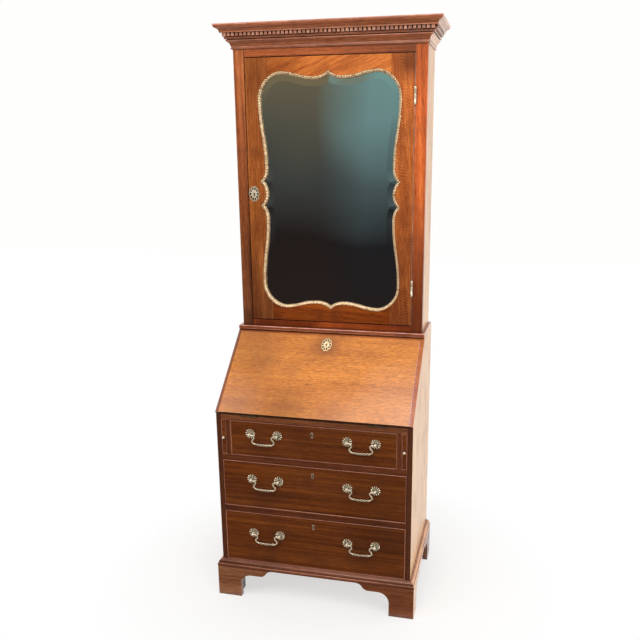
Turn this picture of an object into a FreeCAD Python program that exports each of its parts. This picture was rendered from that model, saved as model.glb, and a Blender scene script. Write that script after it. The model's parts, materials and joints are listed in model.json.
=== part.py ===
"""Bureau bookcase: a desk with a sloping fall over three drawers, under a bookcase with a mirror door.

Millimetres. X runs to the right, Y to the back and Z up. The origin is on the floor, in the middle
of the object's width and depth. In the code y is counted from the front of the bureau case, and the
pieces of the fall are drawn flat, with y up its slope and z out of its face.
"""
import FreeCAD
import Part
import math
import os
import re

import Sketcher

Vector = FreeCAD.Vector

SIZES = {
    # Bureau case
    "case_width": 710,
    "case_depth": 466,
    "side_thick": 18,
    "back_thick": 12,
    "top_thick": 18,
    "bottom_thick": 18,
    "divider_thick": 20,
    "low_drawer_height": 202,
    "mid_drawer_height": 181,
    "top_drawer_height": 134,
    "loper_bay": 20,
    "partition_thick": 14,
    "nosing_height": 12,
    "front_ledge": 19,
    "side_ledge": 12,
    # Base moulding and bracket feet
    "foot_height": 118,
    "foot_out": 16,
    "foot_thick": 20,
    "foot_pillar": 90,
    "foot_side_pillar": 75,
    "foot_flat": 36,
    "foot_side_flat": 18,
    "foot_scroll": 45,
    "arch_radius": 40,
    "arch_height": 92,
    "block_size": 45,
    "base_height": 27,
    "base_out": 17,
    "base_band": 13,
    "base_round": 4,
    "base_step": 11,
    "base_fillet": 2.5,
    # Fall
    "fall_length": 359.5,
    "fall_thick": 18,
    "fall_slope": 42.2,
    "fall_lip": 9,
    "thumb_width": 14,
    "thumb_step": 1.5,
    "thumb_edge": 2,
    "fall_gap": 0.4,
    "fall_end_gap": 0.8,
    "fall_hinge_inset": 107,
    "fall_hinge_length": 60,
    "fall_hinge_leaf": 24,
    "fall_key_drop": 53,
    "fall_lock_width": 64,
    "fall_lock_height": 60,
    "fall_lock_thick": 9,
    # Hinges
    "leaf_thick": 1.5,
    "knuckle_radius": 3.6,
    "pin_radius": 2,
    "running_gap": 0.05,
    "knuckle_gap": 0.3,
    # Lopers
    "loper_back_gap": 54,
    "loper_gap": 0.5,
    "loper_knob_radius": 4.8,
    "loper_knob_neck": 2.8,
    "loper_knob_stem": 6,
    "loper_knob_out": 15,
    # Long drawers
    "drawer_gap": 1,
    "drawer_top_gap": 2,
    "slide_gap": 0.3,
    "drawer_back_gap": 14,
    "front_thick": 20,
    "lining_thick": 9,
    "drawer_floor_thick": 6,
    "drawer_floor_rise": 6,
    "lining_drop": 8,
    "bead_thick": 3,
    "bead_out": 2,
    "key_drop": 30,
    "liner_radius": 5,
    "liner_foot": 3.5,
    "liner_length": 20,
    "liner_wall": 1.4,
    "liner_depth": 6,
    "liner_out": 0.4,
    "lock_width": 56,
    "lock_height": 44,
    "lock_thick": 10,
    # Handles
    "handle_inset": 126,
    "handle_boring": 101,
    "top_handle_rise": 19,
    "mid_handle_rise": 22,
    "low_handle_rise": 18,
    "rosette_petals": 12,
    "rosette_radius": 18,
    "rosette_inner_radius": 14.5,
    "rosette_edge": 2,
    "rosette_rise": 3.5,
    "rosette_dome_radius": 8,
    "post_radius": 5,
    "post_ball_radius": 6.2,
    "bail_out": 15,
    "wire_radius": 2,
    "neck_start": 38,
    "neck_radius": 7,
    "elbow_radius": 8,
    "bail_drop": 40,
    "bead_radius": 3.8,
    "bead_pitch": 10.5,
    "long_bead_half": 7,
    # Desk interior
    "pigeonholes": 5,
    "fitting_setback": 20,
    "fitting_board": 8,
    "small_drawer_height": 62,
    "small_drawer_gap": 0.8,
    "small_drawer_back_gap": 10,
    "small_front_thick": 10,
    "small_lining": 6,
    "small_knob_radius": 7,
    "small_knob_neck": 3.5,
    "small_knob_stem": 6,
    "small_knob_out": 15,
    # Bookcase
    "book_side_thick": 18,
    "book_board": 18,
    "face_thick": 20,
    "face_stile": 40,
    "face_bottom_rail": 24,
    "face_top_rail": 27,
    "door_height": 932,
    "shelves": 3,
    "shelf_thick": 16,
    "shelf_gap": 1,
    "shelf_setback": 6,
    "shelf_pin_radius": 3,
    "shelf_pin_out": 9,
    "shelf_pin_in": 10,
    "shelf_pin_inset": 30,
    # Cornice
    "cornice_height": 79,
    "cornice_out": 52,
    "cornice_lip": 9,
    "cornice_bead": 5,
    "cornice_bead_out": 4,
    "cove_top": 33,
    "cove_out": 20,
    "cornice_fillet": 6,
    "dentil_out": 31,
    "dentil_back": 25,
    "dentil_height": 13,
    "dentil_pitch": 15,
    "dentil_slot": 5.5,
    "corona_out": 35,
    "corona_height": 3,
    "cornice_cap": 3,
    # Door
    "door_gap": 1.2,
    "door_thick": 22,
    "door_stile": 81,
    "door_lip": 8,
    "mirror_side_margin": 44.3,
    "mirror_end_margin": 48,
    "cusp_half": 43,
    "lobe_depth": 19.5,
    "waist_depth": 20,
    "waist_height": 88,
    "shoulder_drop": 93,
    "shoulder_width": 79,
    "crest_half": 50,
    "dip_depth": 19,
    "slip_width": 9,
    "slip_out": 2,
    "slip_gap": 0.2,
    "mirror_thick": 5,
    "mirror_cover": 5,
    "mirror_gap": 0.4,
    "door_hinge_length": 52,
    "door_hinge_place": 136,
    "door_hinge_out": 4,
    "door_leaf_width": 18,
    "door_lock_width": 28,
    "door_lock_height": 60,
    "door_lock_thick": 12,
    "door_key_inset": 20,
    # Pierced escutcheons
    "plate_width": 38,
    "plate_height": 56,
    "plate_thick": 1.4,
    "plate_lobes": 10,
    "plate_lobe_radius": 5,
    "plate_hole_radius": 1.7,
    "keyhole_radius": 2.2,
    "keyhole_slot": 2.4,
    "keyhole_drop": 8,
}

# Levels and places worked out from the sizes
WORKED = {
    "front_y": "(bail_out + post_ball_radius - case_depth) / 2",
    "half_case": "case_width / 2",
    "half_inside": "half_case - side_thick",
    "half_top_drawer": "half_inside - loper_bay - partition_thick",
    "inside_back": "case_depth - back_thick",
    "base_top": "foot_height + base_height",
    "low_top": "base_top + low_drawer_height",
    "mid_floor": "low_top + divider_thick",
    "mid_top": "mid_floor + mid_drawer_height",
    "top_floor": "mid_top + divider_thick",
    "top_top": "top_floor + top_drawer_height",
    "bed_top": "top_top + fall_thick",
    "loper_top": "top_top - fall_gap",
    "loper_length": "inside_back - loper_back_gap",
    "drawer_length": "inside_back - drawer_back_gap",
    "handle_place": "half_top_drawer - handle_inset",
    "fall_hinge_place": "half_inside - fall_hinge_inset",
    "end_slope": "fall_length + fall_end_gap",
    "nosing_y": "end_slope * cos(fall_slope) - fall_thick * sin(fall_slope)",
    "nosing_z": "bed_top + end_slope * sin(fall_slope) + fall_thick * cos(fall_slope)",
    "case_top": "nosing_z + nosing_height",
    "top_under": "case_top - top_thick",
    "top_under_y": "nosing_y + (nosing_z - top_under) * tan(fall_slope)",
    "rebate_depth": "fall_thick - fall_lip",
    "edge_rise": "rebate_depth - fall_gap",
    "half_book": "half_case - side_ledge",
    "half_book_inside": "half_book - book_side_thick",
    "book_front": "nosing_y + front_ledge",
    "half_door_bay": "half_book - face_stile",
    "half_door": "half_door_bay - door_gap",
    "door_bay_floor": "case_top + face_bottom_rail",
    "door_bay_top": "door_bay_floor + door_height",
    "door_floor": "door_bay_floor + door_gap",
    "door_top": "door_bay_top - door_gap",
    "door_middle": "(door_bay_floor + door_bay_top) / 2",
    "mirror_half_width": "half_door - mirror_side_margin",
    "mirror_half_height": "door_height / 2 - mirror_end_margin",
    "cornice_floor": "door_bay_top + face_top_rail",
    "cornice_top": "cornice_floor + cornice_height",
    "carcase_top": "cornice_top - cornice_lip",
    "fitting_front": "fall_length * cos(fall_slope) + fitting_setback",
    "fitting_shelf": "bed_top + small_drawer_height",
}

doc = FreeCAD.newDocument("bureau_bookcase")
sheet = doc.addObject("Spreadsheet::Sheet", "Sizes")
for row, (alias, value) in enumerate(SIZES.items(), start=1):
    sheet.set(f"A{row}", alias)
    sheet.set(f"B{row}", str(value))
    sheet.setAlias(f"B{row}", alias)
doc.recompute()

nodes = {}


def bind(expression):
    """The expression with each size read from the sheet and each worked-out value spelled out."""
    def swap(match):
        word = match.group(0)
        if word in WORKED:
            return f"({bind(WORKED[word])})"
        return f"Sizes.{word}" if word in SIZES else word
    return re.sub(r"[a-z_][a-z_0-9]*", swap, str(expression))


def number(expression):
    """The value that an expression has now."""
    return float(sheet.evalExpression(bind(expression)))


def node(label, thing):
    """Keep an object as a sub-part, under its own label."""
    thing.Label = label
    nodes[label] = thing
    return thing


def between(low, high):
    return f"({high}) - ({low})"


def put(thing, x="0", y="0", z="0", flat=False):
    """Bind a place. Flat pieces of the fall are drawn at the hinge line and turned later."""
    thing.setExpression("Placement.Base.x", bind(x))
    thing.setExpression("Placement.Base.y", bind(y if flat else f"front_y + ({y})"))
    thing.setExpression("Placement.Base.z", bind(z))
    return thing


def board(name, x, y, z, flat=False):
    """Square-edged board between two places on each axis."""
    thing = doc.addObject("Part::Box", name)
    thing.setExpression("Length", bind(between(*x)))
    thing.setExpression("Width", bind(between(*y)))
    thing.setExpression("Height", bind(between(*z)))
    return put(thing, x[0], y[0], z[0], flat)


TURNS = {
    "x": FreeCAD.Rotation(Vector(0, 1, 0), 90),
    "y": FreeCAD.Rotation(Vector(1, 0, 0), -90),
    "z": FreeCAD.Rotation(),
}


def rod(name, axis, radius, length, x, y, z, flat=False):
    """Round bar that starts at a place and runs along an axis."""
    thing = doc.addObject("Part::Cylinder", name)
    thing.setExpression("Radius", bind(radius))
    thing.setExpression("Height", bind(length))
    thing.Placement.Rotation = TURNS[axis]
    return put(thing, x, y, z, flat)


def bend(start, end, radius, turn):
    """Arc between two points. It turns left for turn 1 and right for turn -1."""
    chord = end - start
    half = chord.Length / 2
    side = Vector(-chord.y, chord.x, 0).normalize() * turn
    centre = start + chord * 0.5 + side * math.sqrt(max(radius ** 2 - half ** 2, 0))
    first, last = (start, end) if turn == 1 else (end, start)
    angles = [math.atan2(p.y - centre.y, p.x - centre.x) for p in (first, last)]
    if angles[1] < angles[0]:
        angles[1] += 2 * math.pi
    return Part.ArcOfCircle(Part.Circle(centre, Vector(0, 0, 1), radius), *angles)


def draw(sketch, outline):
    """Closed outline. A corner is (x, y), or (x, y, radius, turn) where an arc arrives at it."""
    corners = [Vector(number(c[0]), number(c[1]), 0) for c in outline]
    constraints = []
    expressions = []
    for i, corner in enumerate(outline):
        start, end = corners[i - 1], corners[i]
        if len(corner) == 2:
            sketch.addGeometry(Part.LineSegment(start, end))
        else:
            sketch.addGeometry(bend(start, end, number(corner[2]), corner[3]))
            constraints.append(Sketcher.Constraint("Radius", i, number(corner[2])))
            expressions.append(corner[2])
    ends = [1 if len(c) == 4 and c[3] == -1 else 2 for c in outline]
    for i, corner in enumerate(outline):
        follower = (i + 1) % len(outline)
        constraints.append(Sketcher.Constraint("DistanceX", -1, 1, i, ends[i], corners[i].x))
        constraints.append(Sketcher.Constraint("DistanceY", -1, 1, i, ends[i], corners[i].y))
        constraints.append(Sketcher.Constraint("Coincident", i, ends[i], follower, 3 - ends[follower]))
        expressions += [corner[0], corner[1], None]
    sketch.addConstraint(constraints)
    for i, expression in enumerate(expressions):
        if expression is not None:
            sketch.setExpression(f"Constraints[{i}]", bind(expression))


def sketch_in(body, plane, outline):
    """Sketch on one of the body's own origin planes."""
    sketch = body.newObject("Sketcher::SketchObject", body.Name + "_sketch")
    origin = [f for f in body.Origin.OriginFeatures if f.Role == plane + "_Plane"][0]
    sketch.AttachmentSupport = (origin, [""])
    sketch.MapMode = "FlatFace"
    draw(sketch, outline)
    return sketch


def pad(name, plane, outline, span, flat=False):
    """Outline in a plane, padded over a span: XZ runs to the back, YZ to the right, XY up."""
    body = doc.addObject("PartDesign::Body", name)
    feature = body.newObject("PartDesign::Pad", name + "_pad")
    feature.Profile = sketch_in(body, plane, outline)
    feature.Reversed = plane == "XZ"
    feature.setExpression("Length", bind(between(*span)))
    place = {{"XZ": "y", "YZ": "x", "XY": "z"}[plane]: span[0]}
    return put(body, flat=flat, **place)


def turned(name, outline, x, y, z, flat=False):
    """Knob turned about its own Y axis: the outline gives radius and depth, out of the front."""
    body = doc.addObject("PartDesign::Body", name)
    feature = body.newObject("PartDesign::Revolution", name + "_turn")
    sketch = sketch_in(body, "XY", outline)
    feature.Profile = sketch
    feature.ReferenceAxis = (sketch, ["V_Axis"])
    feature.Angle = 360
    return put(body, x, y, z, flat)


def group(name, things):
    thing = doc.addObject("Part::Compound", name)
    thing.Links = things
    return thing


def fuse(name, things):
    thing = doc.addObject("Part::MultiFuse", name)
    thing.Shapes = things
    return thing


def common(name, things):
    thing = doc.addObject("Part::MultiCommon", name)
    thing.Shapes = things
    return thing


def cut(name, base, tools):
    thing = doc.addObject("Part::Cut", name)
    thing.Base = base
    thing.Tool = tools[0] if len(tools) == 1 else fuse(name + "_tools", tools)
    return thing


def shaped(name, shape, x="0", y="0", z="0", rotation=FreeCAD.Rotation(), flat=False):
    """Piece whose shape is worked out here from the sheet's sizes."""
    thing = doc.addObject("Part::Feature", name)
    thing.Shape = shape
    place = Vector(number(x), number(y if flat else f"front_y + ({y})"), number(z))
    thing.Placement = FreeCAD.Placement(place, rotation)
    return thing


def onto_fall(thing):
    """Turn a piece that was drawn flat up to the closed fall's slope, about the hinge line."""
    slope = FreeCAD.Rotation(Vector(1, 0, 0), number("fall_slope"))
    thing.Placement = FreeCAD.Placement(Vector(), slope)
    thing.setExpression("Placement.Rotation.Angle", bind("fall_slope"))
    return put(thing, "0", "0", "bed_top")


SIDES = (("left", -1), ("right", 1))


def span(hand, inner, outer):
    """Two places on X, given for the right-hand side."""
    return (f"-({outer})", f"-({inner})") if hand < 0 else (inner, outer)


def at(hand, place):
    return f"{hand} * ({place})"


def bureau_case():
    """Sides, top, bottom, back, dividers and partitions of the desk part."""
    slope_z = "bed_top + edge_rise / cos(fall_slope)"
    slope_y = "(top_under - bed_top) / tan(fall_slope) - edge_rise / sin(fall_slope)"
    outline = [
        ("0", "foot_height"),
        ("case_depth", "foot_height"),
        ("case_depth", "top_under"),
        (slope_y, "top_under"),
        ("0", slope_z),
    ]
    for side, hand in SIDES:
        label = f"bureau_side_{side}"
        node(label, pad(label, "YZ", outline, span(hand, "half_inside", "half_case")))

    outline = [
        ("nosing_y", "nosing_z"),
        ("top_under_y", "top_under"),
        ("case_depth", "top_under"),
        ("case_depth", "case_top"),
        ("nosing_y", "case_top"),
    ]
    node("bureau_top_board", pad("bureau_top_board", "YZ", outline, ("-half_case", "half_case")))

    inside = ("-half_inside", "half_inside")
    depth = ("0", "inside_back")
    levels = ("base_top - bottom_thick", "base_top")
    node("bureau_bottom_board", board("bureau_bottom_board", inside, depth, levels))
    levels = ("foot_height", "top_under")
    node("bureau_back", board("bureau_back", inside, ("inside_back", "case_depth"), levels))
    dividers = [
        board("divider_low", inside, depth, ("low_top", "mid_floor")),
        board("divider_high", inside, depth, ("mid_top", "top_floor")),
    ]
    node("drawer_dividers", group("drawer_dividers", dividers))
    partitions = []
    for side, hand in SIDES:
        width = span(hand, "half_top_drawer", "half_top_drawer + partition_thick")
        partitions.append(board(f"partition_{side}", width, depth, ("top_floor", "top_top")))
    node("loper_partitions", group("loper_partitions", partitions))


def base_profile(sign):
    """Section of the base moulding: how far it stands out, and its height."""
    out = f"{sign} * "
    band_top = "foot_height + base_band"
    fillet_top = f"{band_top} + base_fillet"
    ovolo = "((base_step ^ 2) + ((base_height - base_band - base_fillet) ^ 2)) / (2 * base_step)"
    return [
        ("0", "foot_height"),
        (f"{out}base_out", "foot_height"),
        (f"{out}base_out", f"{band_top} - base_round"),
        (f"{out}(base_out - base_round)", band_top, "base_round", sign),
        (f"{out}base_step", band_top),
        (f"{out}base_step", fillet_top),
        ("0", "base_top", ovolo, sign),
    ]


def mitred_runs(name, half, front, back, out, profile, levels):
    """Moulding round the front and both sides, as three mitred lengths."""
    plan = [
        (f"-({half})", front),
        (f"-({half} + {out})", f"{front} - {out}"),
        (f"{half} + {out}", f"{front} - {out}"),
        (half, front),
    ]
    front_section = [(f"{front} + ({c[0]})",) + tuple(c[1:]) for c in profile(-1)]
    long = (f"-({half} + {out})", f"{half} + {out}")
    runs = [common(f"{name}_front", [
        pad(f"{name}_front_plan", "XY", plan, levels),
        pad(f"{name}_front_section", "YZ", front_section, long),
    ])]
    for side, hand in SIDES:
        plan = [
            (at(hand, half), front),
            (at(hand, f"{half} + {out}"), f"{front} - {out}"),
            (at(hand, f"{half} + {out}"), back),
            (at(hand, half), back),
        ]
        section = [(at(hand, f"{half}") + f" + ({c[0]})",) + tuple(c[1:]) for c in profile(hand)]
        runs.append(common(f"{name}_{side}", [
            pad(f"{name}_{side}_plan", "XY", plan, levels),
            pad(f"{name}_{side}_section", "XZ", section, (f"{front} - {out}", back)),
        ]))
    return runs


def base_moulding():
    levels = ("foot_height", "base_top")
    runs = mitred_runs("base", "half_case", "0", "case_depth", "base_out", base_profile, levels)
    node("base_moulding", group("base_moulding", runs))


def bracket(start, way, pillar, level):
    """Outline of a bracket: a pillar, a quarter arch, a flat and a scroll up to the moulding."""
    def along(reach):
        return f"{start} + {way} * ({reach})"
    arch = f"{pillar} + arch_radius"
    flat = f"{arch} + {level}"
    middle = "(arch_height + foot_height) / 2"
    rise = "(foot_height - arch_height) / 2"
    bow = f"((foot_scroll / 2) ^ 2 + ({rise}) ^ 2) / (2 * {rise})"
    return [
        (along("0"), "0"),
        (along(pillar), "0"),
        (along(pillar), "arch_height - arch_radius"),
        (along(arch), "arch_height", "arch_radius", -way),
        (along(flat), "arch_height"),
        (along(f"{flat} + foot_scroll / 2"), middle, bow, way),
        (along(f"{flat} + foot_scroll"), "foot_height", bow, -way),
        (along("0"), "foot_height"),
    ]


def bracket_feet():
    """Each foot is two brackets joined at the corner, with a glue block inside it."""
    outer = "half_case + foot_out"
    inner = f"{outer} - foot_thick"
    ends = {
        "front": ("-foot_out", 1, "foot_thick - foot_out"),
        "rear": ("case_depth", -1, "case_depth - foot_thick"),
    }
    for end, (corner, way, face) in ends.items():
        feet = []
        for side, hand in SIDES:
            name = f"{end}_foot_{side}"
            faces = (corner, face) if way == 1 else (face, corner)
            thick = span(hand, inner, outer)
            across = bracket(at(hand, outer), -hand, "foot_pillar", "foot_flat")
            along = bracket(corner, way, "foot_side_pillar", "foot_side_flat")
            feet.append(fuse(name, [
                pad(f"{name}_across", "XZ", across, faces),
                pad(f"{name}_along", "YZ", along, thick),
            ]))
            block = (face, f"{face} + block_size") if way == 1 else (f"{face} - block_size", face)
            width = span(hand, f"{inner} - block_size", inner)
            feet.append(board(f"{name}_block", width, block, ("block_size", "foot_height")))
        node(f"{end}_bracket_feet", group(f"{end}_bracket_feet", feet))


def fall_hinges():
    """Butt hinges along the line where the fall meets the bed. The bed leaves hold the pins."""
    third = "fall_hinge_length / 3"
    fall_leaves = []
    bed_leaves = []
    hollows = []
    mortises = []
    for side, hand in SIDES:
        start = f"{at(hand, 'fall_hinge_place')} - fall_hinge_length / 2"
        whole = (start, f"{start} + fall_hinge_length")
        own = (f"{start} + {third} + knuckle_gap", f"{start} + 2 * {third} - knuckle_gap")
        clear = "knuckle_radius + knuckle_gap"

        def plate(name, low, high, flat, depth=(clear, "fall_hinge_leaf")):
            levels = ("0", "leaf_thick") if flat else ("bed_top - leaf_thick", "bed_top")
            return board(name, (low, high), depth, levels, flat)

        def tongue(name, low, high, flat):
            return plate(name, low, high, flat, ("0", clear))

        def knuckle(name, low, high, radius, flat):
            level = "0" if flat else "bed_top"
            return rod(name, "x", radius, between(low, high), low, "0", level, flat)

        solid = fuse(f"fall_leaf_{side}_solid", [
            plate(f"fall_leaf_{side}_plate", *whole, True),
            tongue(f"fall_leaf_{side}_tongue", *own, True),
            knuckle(f"fall_leaf_{side}_knuckle", *own, "knuckle_radius", True),
        ])
        bore = knuckle(f"fall_leaf_{side}_bore", *whole, "pin_radius + running_gap", True)
        fall_leaves.append(cut(f"fall_leaf_{side}", solid, [bore]))
        ends = ((whole[0], f"{start} + {third}"), (f"{start} + 2 * {third}", whole[1]))
        pieces = [
            plate(f"bed_leaf_{side}_plate", *whole, False),
            knuckle(f"bed_leaf_{side}_pin", *whole, "pin_radius", False),
        ]
        for place, stretch in zip("ab", ends):
            name = f"bed_leaf_{side}_{place}"
            pieces.append(tongue(f"{name}_tongue", *stretch, False))
            pieces.append(knuckle(f"{name}_knuckle", *stretch, "knuckle_radius", False))
        bed_leaves.append(fuse(f"bed_leaf_{side}", pieces))
        for flat in (True, False):
            tag = "fall" if flat else "bed"
            room = (f"{whole[0]} - knuckle_gap", f"{whole[1]} + knuckle_gap")
            hollow = knuckle(f"{tag}_hollow_{side}", *room, clear, flat)
            seat = plate(f"{tag}_seat_{side}", *whole, flat, ("0", "fall_hinge_leaf"))
            (hollows if flat else mortises).extend([hollow, seat])
    node("fall_hinge_leaves", onto_fall(group("fall_hinge_leaves", fall_leaves)))
    node("bed_hinge_leaves", group("bed_hinge_leaves", bed_leaves))
    return hollows, mortises


def keyhole_tool(name, x, y, z, axis, length, flat=False):
    """Round hole with a slot under it, along Y (axis y) or out of a flat piece (axis z)."""
    slot = (f"{x} - keyhole_slot / 2", f"{x} + keyhole_slot / 2")
    if axis == "y":
        drop = board(f"{name}_slot", slot, (y, f"{y} + {length}"), (f"{z} - keyhole_drop", z), flat)
    else:
        drop = board(f"{name}_slot", slot, (f"{y} - keyhole_drop", y), (z, f"{z} + {length}"), flat)
    return [rod(f"{name}_round", axis, "keyhole_radius", length, x, y, z, flat), drop]


def escutcheon_shape():
    """Pierced plate of lobes round a solid middle, drawn flat with its keyhole at the origin."""
    thick = number("plate_thick")
    lobe = number("plate_lobe_radius")
    wide = number("plate_width") / 2 - lobe
    high = number("plate_height") / 2 - lobe
    count = int(number("plate_lobes"))
    ellipse = Part.Ellipse(Vector(), max(high, wide), min(high, wide)).toShape()
    plate = Part.Face(Part.Wire(ellipse)).extrude(Vector(0, 0, thick))
    if high > wide:
        plate.rotate(Vector(), Vector(0, 0, 1), 90)
    holes = []
    lobes = []
    for i in range(count):
        angle = 2 * math.pi * (i + 0.5) / count
        place = Vector(wide * math.cos(angle), high * math.sin(angle), 0)
        lobes.append(Part.makeCylinder(lobe, thick, place))
        holes.append(Part.makeCylinder(number("plate_hole_radius"), thick, place))
    slot = number("keyhole_slot")
    drop = number("keyhole_drop")
    holes.append(Part.makeCylinder(number("keyhole_radius"), thick))
    holes.append(Part.makeBox(slot, drop, thick, Vector(-slot / 2, -drop, 0)))
    return plate.multiFuse(lobes).removeSplitter().cut(holes)


def fall():
    """The sloping fall: a lipped panel with its lock, escutcheon and hinges."""
    bow_drop = "(fall_lip - thumb_step - thumb_edge)"
    bow = f"((thumb_width ^ 2) + {bow_drop} ^ 2) / (2 * {bow_drop})"
    face = "fall_thick - thumb_step"
    edge = "rebate_depth + thumb_edge"
    across = [
        ("-half_case", "rebate_depth"),
        ("half_case", "rebate_depth"),
        ("half_case", edge),
        ("half_case - thumb_width", face, bow, 1),
        ("half_case - thumb_width", "fall_thick"),
        ("-(half_case - thumb_width)", "fall_thick"),
        ("-(half_case - thumb_width)", face),
        ("-half_case", edge, bow, 1),
    ]
    up = [
        ("0", "rebate_depth"),
        ("fall_length", "rebate_depth"),
        ("fall_length", edge),
        ("fall_length - thumb_width", face, bow, 1),
        ("fall_length - thumb_width", "fall_thick"),
        ("0", "fall_thick"),
    ]
    lip = common("fall_lip_board", [
        pad("fall_lip_across", "XZ", across, ("0", "fall_length"), flat=True),
        pad("fall_lip_up", "YZ", up, ("-half_case", "half_case"), flat=True),
    ])
    inner_x = ("-(half_inside - loper_gap)", "half_inside - loper_gap")
    inner = board("fall_inner", inner_x, ("0", "fall_length"), ("0", "rebate_depth"), True)
    hollows, mortises = fall_hinges()

    key_y = "fall_length - fall_key_drop"
    lock_x = ("-fall_lock_width / 2", "fall_lock_width / 2")
    lock_y = (f"{key_y} - fall_lock_height / 2", f"{key_y} + fall_lock_height / 2")
    lock_z = ("0", "fall_lock_thick")
    key = keyhole_tool("fall_key", "0", key_y, "0", "z", "fall_thick", True)
    mortise = board("fall_lock_mortise", lock_x, lock_y, lock_z, True)
    panel = cut("fall_panel", fuse("fall_solid", [lip, inner]), hollows + [mortise] + key)
    node("fall_panel", onto_fall(panel))
    lock = board("fall_lock_case", lock_x, lock_y, lock_z, True)
    key = keyhole_tool("fall_lock_key", "0", key_y, "0", "z", "fall_lock_thick", True)
    node("fall_lock", onto_fall(cut("fall_lock", lock, key)))
    plate = shaped("fall_plate", escutcheon_shape(), "0", key_y, "fall_thick", flat=True)
    node("fall_escutcheon", onto_fall(group("fall_escutcheon", [plate])))

    bed_x = ("-half_inside", "half_inside")
    bed = board("bed_board", bed_x, ("fall_gap", "inside_back"), ("top_top", "bed_top"))
    node("writing_bed", cut("writing_bed", bed, mortises))


def beaded_front(name, x, z):
    """Four cockbead strips with round noses, which stand a little proud of the front."""
    nose = "bead_thick / 2"
    proud = f"-(bead_out - {nose})"
    strips = []
    for place, low in (("low", z[0]), ("high", f"{z[1]} - bead_thick")):
        section = [
            ("front_thick", low),
            ("front_thick", f"{low} + bead_thick"),
            (proud, f"{low} + bead_thick"),
            (f"{proud} - {nose}", f"{low} + {nose}", nose, 1),
            (proud, low, nose, 1),
        ]
        strips.append(pad(f"{name}_bead_{place}", "YZ", section, x))
    levels = (f"{z[0]} + bead_thick", f"{z[1]} - bead_thick")
    for place, low in (("left", x[0]), ("right", f"{x[1]} - bead_thick")):
        section = [
            (low, "front_thick"),
            (low, proud),
            (f"{low} + {nose}", f"{proud} - {nose}", nose, 1),
            (f"{low} + bead_thick", proud, nose, 1),
            (f"{low} + bead_thick", "front_thick"),
        ]
        strips.append(pad(f"{name}_bead_{place}", "XY", section, levels))
    return strips


def knob_outline(radius, neck, stem, out):
    """Half section of a turned knob: a neck that swells into a round head."""
    return [
        ("0", "0"),
        (neck, "0"),
        (neck, f"-{stem}"),
        (radius, f"-({stem} + {out}) / 2", radius, -1),
        ("0", f"-{out}", radius, -1),
    ]


def lopers():
    """Slides that carry the open fall, each with a beaded front and a knob."""
    knob = knob_outline("loper_knob_radius", "loper_knob_neck", "loper_knob_stem", "loper_knob_out")
    for side, hand in SIDES:
        label = f"loper_{side}"
        x = span(hand, "half_inside - loper_bay + loper_gap", "half_inside - loper_gap")
        z = ("top_floor + slide_gap", "loper_top")
        core_x = (f"{x[0]} + bead_thick", f"{x[1]} - bead_thick")
        core_z = (f"{z[0]} + bead_thick", f"{z[1]} - bead_thick")
        bar = fuse(f"{label}_bar", [
            board(f"{label}_core", core_x, ("0", "front_thick"), core_z),
            board(f"{label}_tail", x, ("front_thick", "loper_length"), z),
        ])
        node(label, group(label, [bar] + beaded_front(label, x, z)))
        place = (f"({x[0]} + {x[1]}) / 2", "0", f"({z[0]} + {z[1]}) / 2")
        node(f"{label}_knob", turned(f"{label}_knob", knob, *place))


def keyhole_liner_face(inset):
    """Keyhole-shaped face in the XZ plane, inset from the liner's outside, top centre at the origin."""
    radius = number("liner_radius") - inset
    foot = number("liner_foot") - inset
    low = -(number("liner_length") - number("liner_radius") - inset)
    edges = [
        Part.Arc(Vector(radius, 0, 0), Vector(0, 0, radius), Vector(-radius, 0, 0)).toShape(),
        Part.makeLine(Vector(-radius, 0, 0), Vector(-foot, 0, low)),
        Part.makeLine(Vector(-foot, 0, low), Vector(foot, 0, low)),
        Part.makeLine(Vector(foot, 0, low), Vector(radius, 0, 0)),
    ]
    return Part.Face(Part.Wire(edges))


def rosette_shape():
    """Petalled rose with a domed middle and the post that holds one end of a bail.

    Drawn about its own centre, out of the front along -Y. The post's hole opens to +X.
    """
    outer = number("rosette_radius")
    inner = number("rosette_inner_radius")
    edge = number("rosette_edge")
    rise = number("rosette_rise")
    petals = int(number("rosette_petals"))
    points = []
    for i in range(2 * petals + 1):
        radius = outer if i % 2 == 0 else inner
        angle = math.pi * i / petals
        points.append(Vector(radius * math.cos(angle), 0, radius * math.sin(angle)))
    outward = Vector(0, -1, 0)
    rim = Part.Face(Part.makePolygon(points)).extrude(outward * edge)
    dome_radius = number("rosette_dome_radius")
    dome = Part.makeCone(inner, dome_radius, rise, outward * edge, outward)
    out = number("bail_out")
    post = Part.makeCylinder(number("post_radius"), out, Vector(), outward)
    ball = Part.makeSphere(number("post_ball_radius"), Vector(0, -out, 0))
    hole = Part.makeCylinder(number("wire_radius + running_gap"), 2 * outer, Vector(), Vector(1, 0, 0))
    hole.translate(Vector(-number("wire_radius"), -out, 0))
    return rim.multiFuse([dome, post, ball]).removeSplitter().cut(hole)


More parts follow.
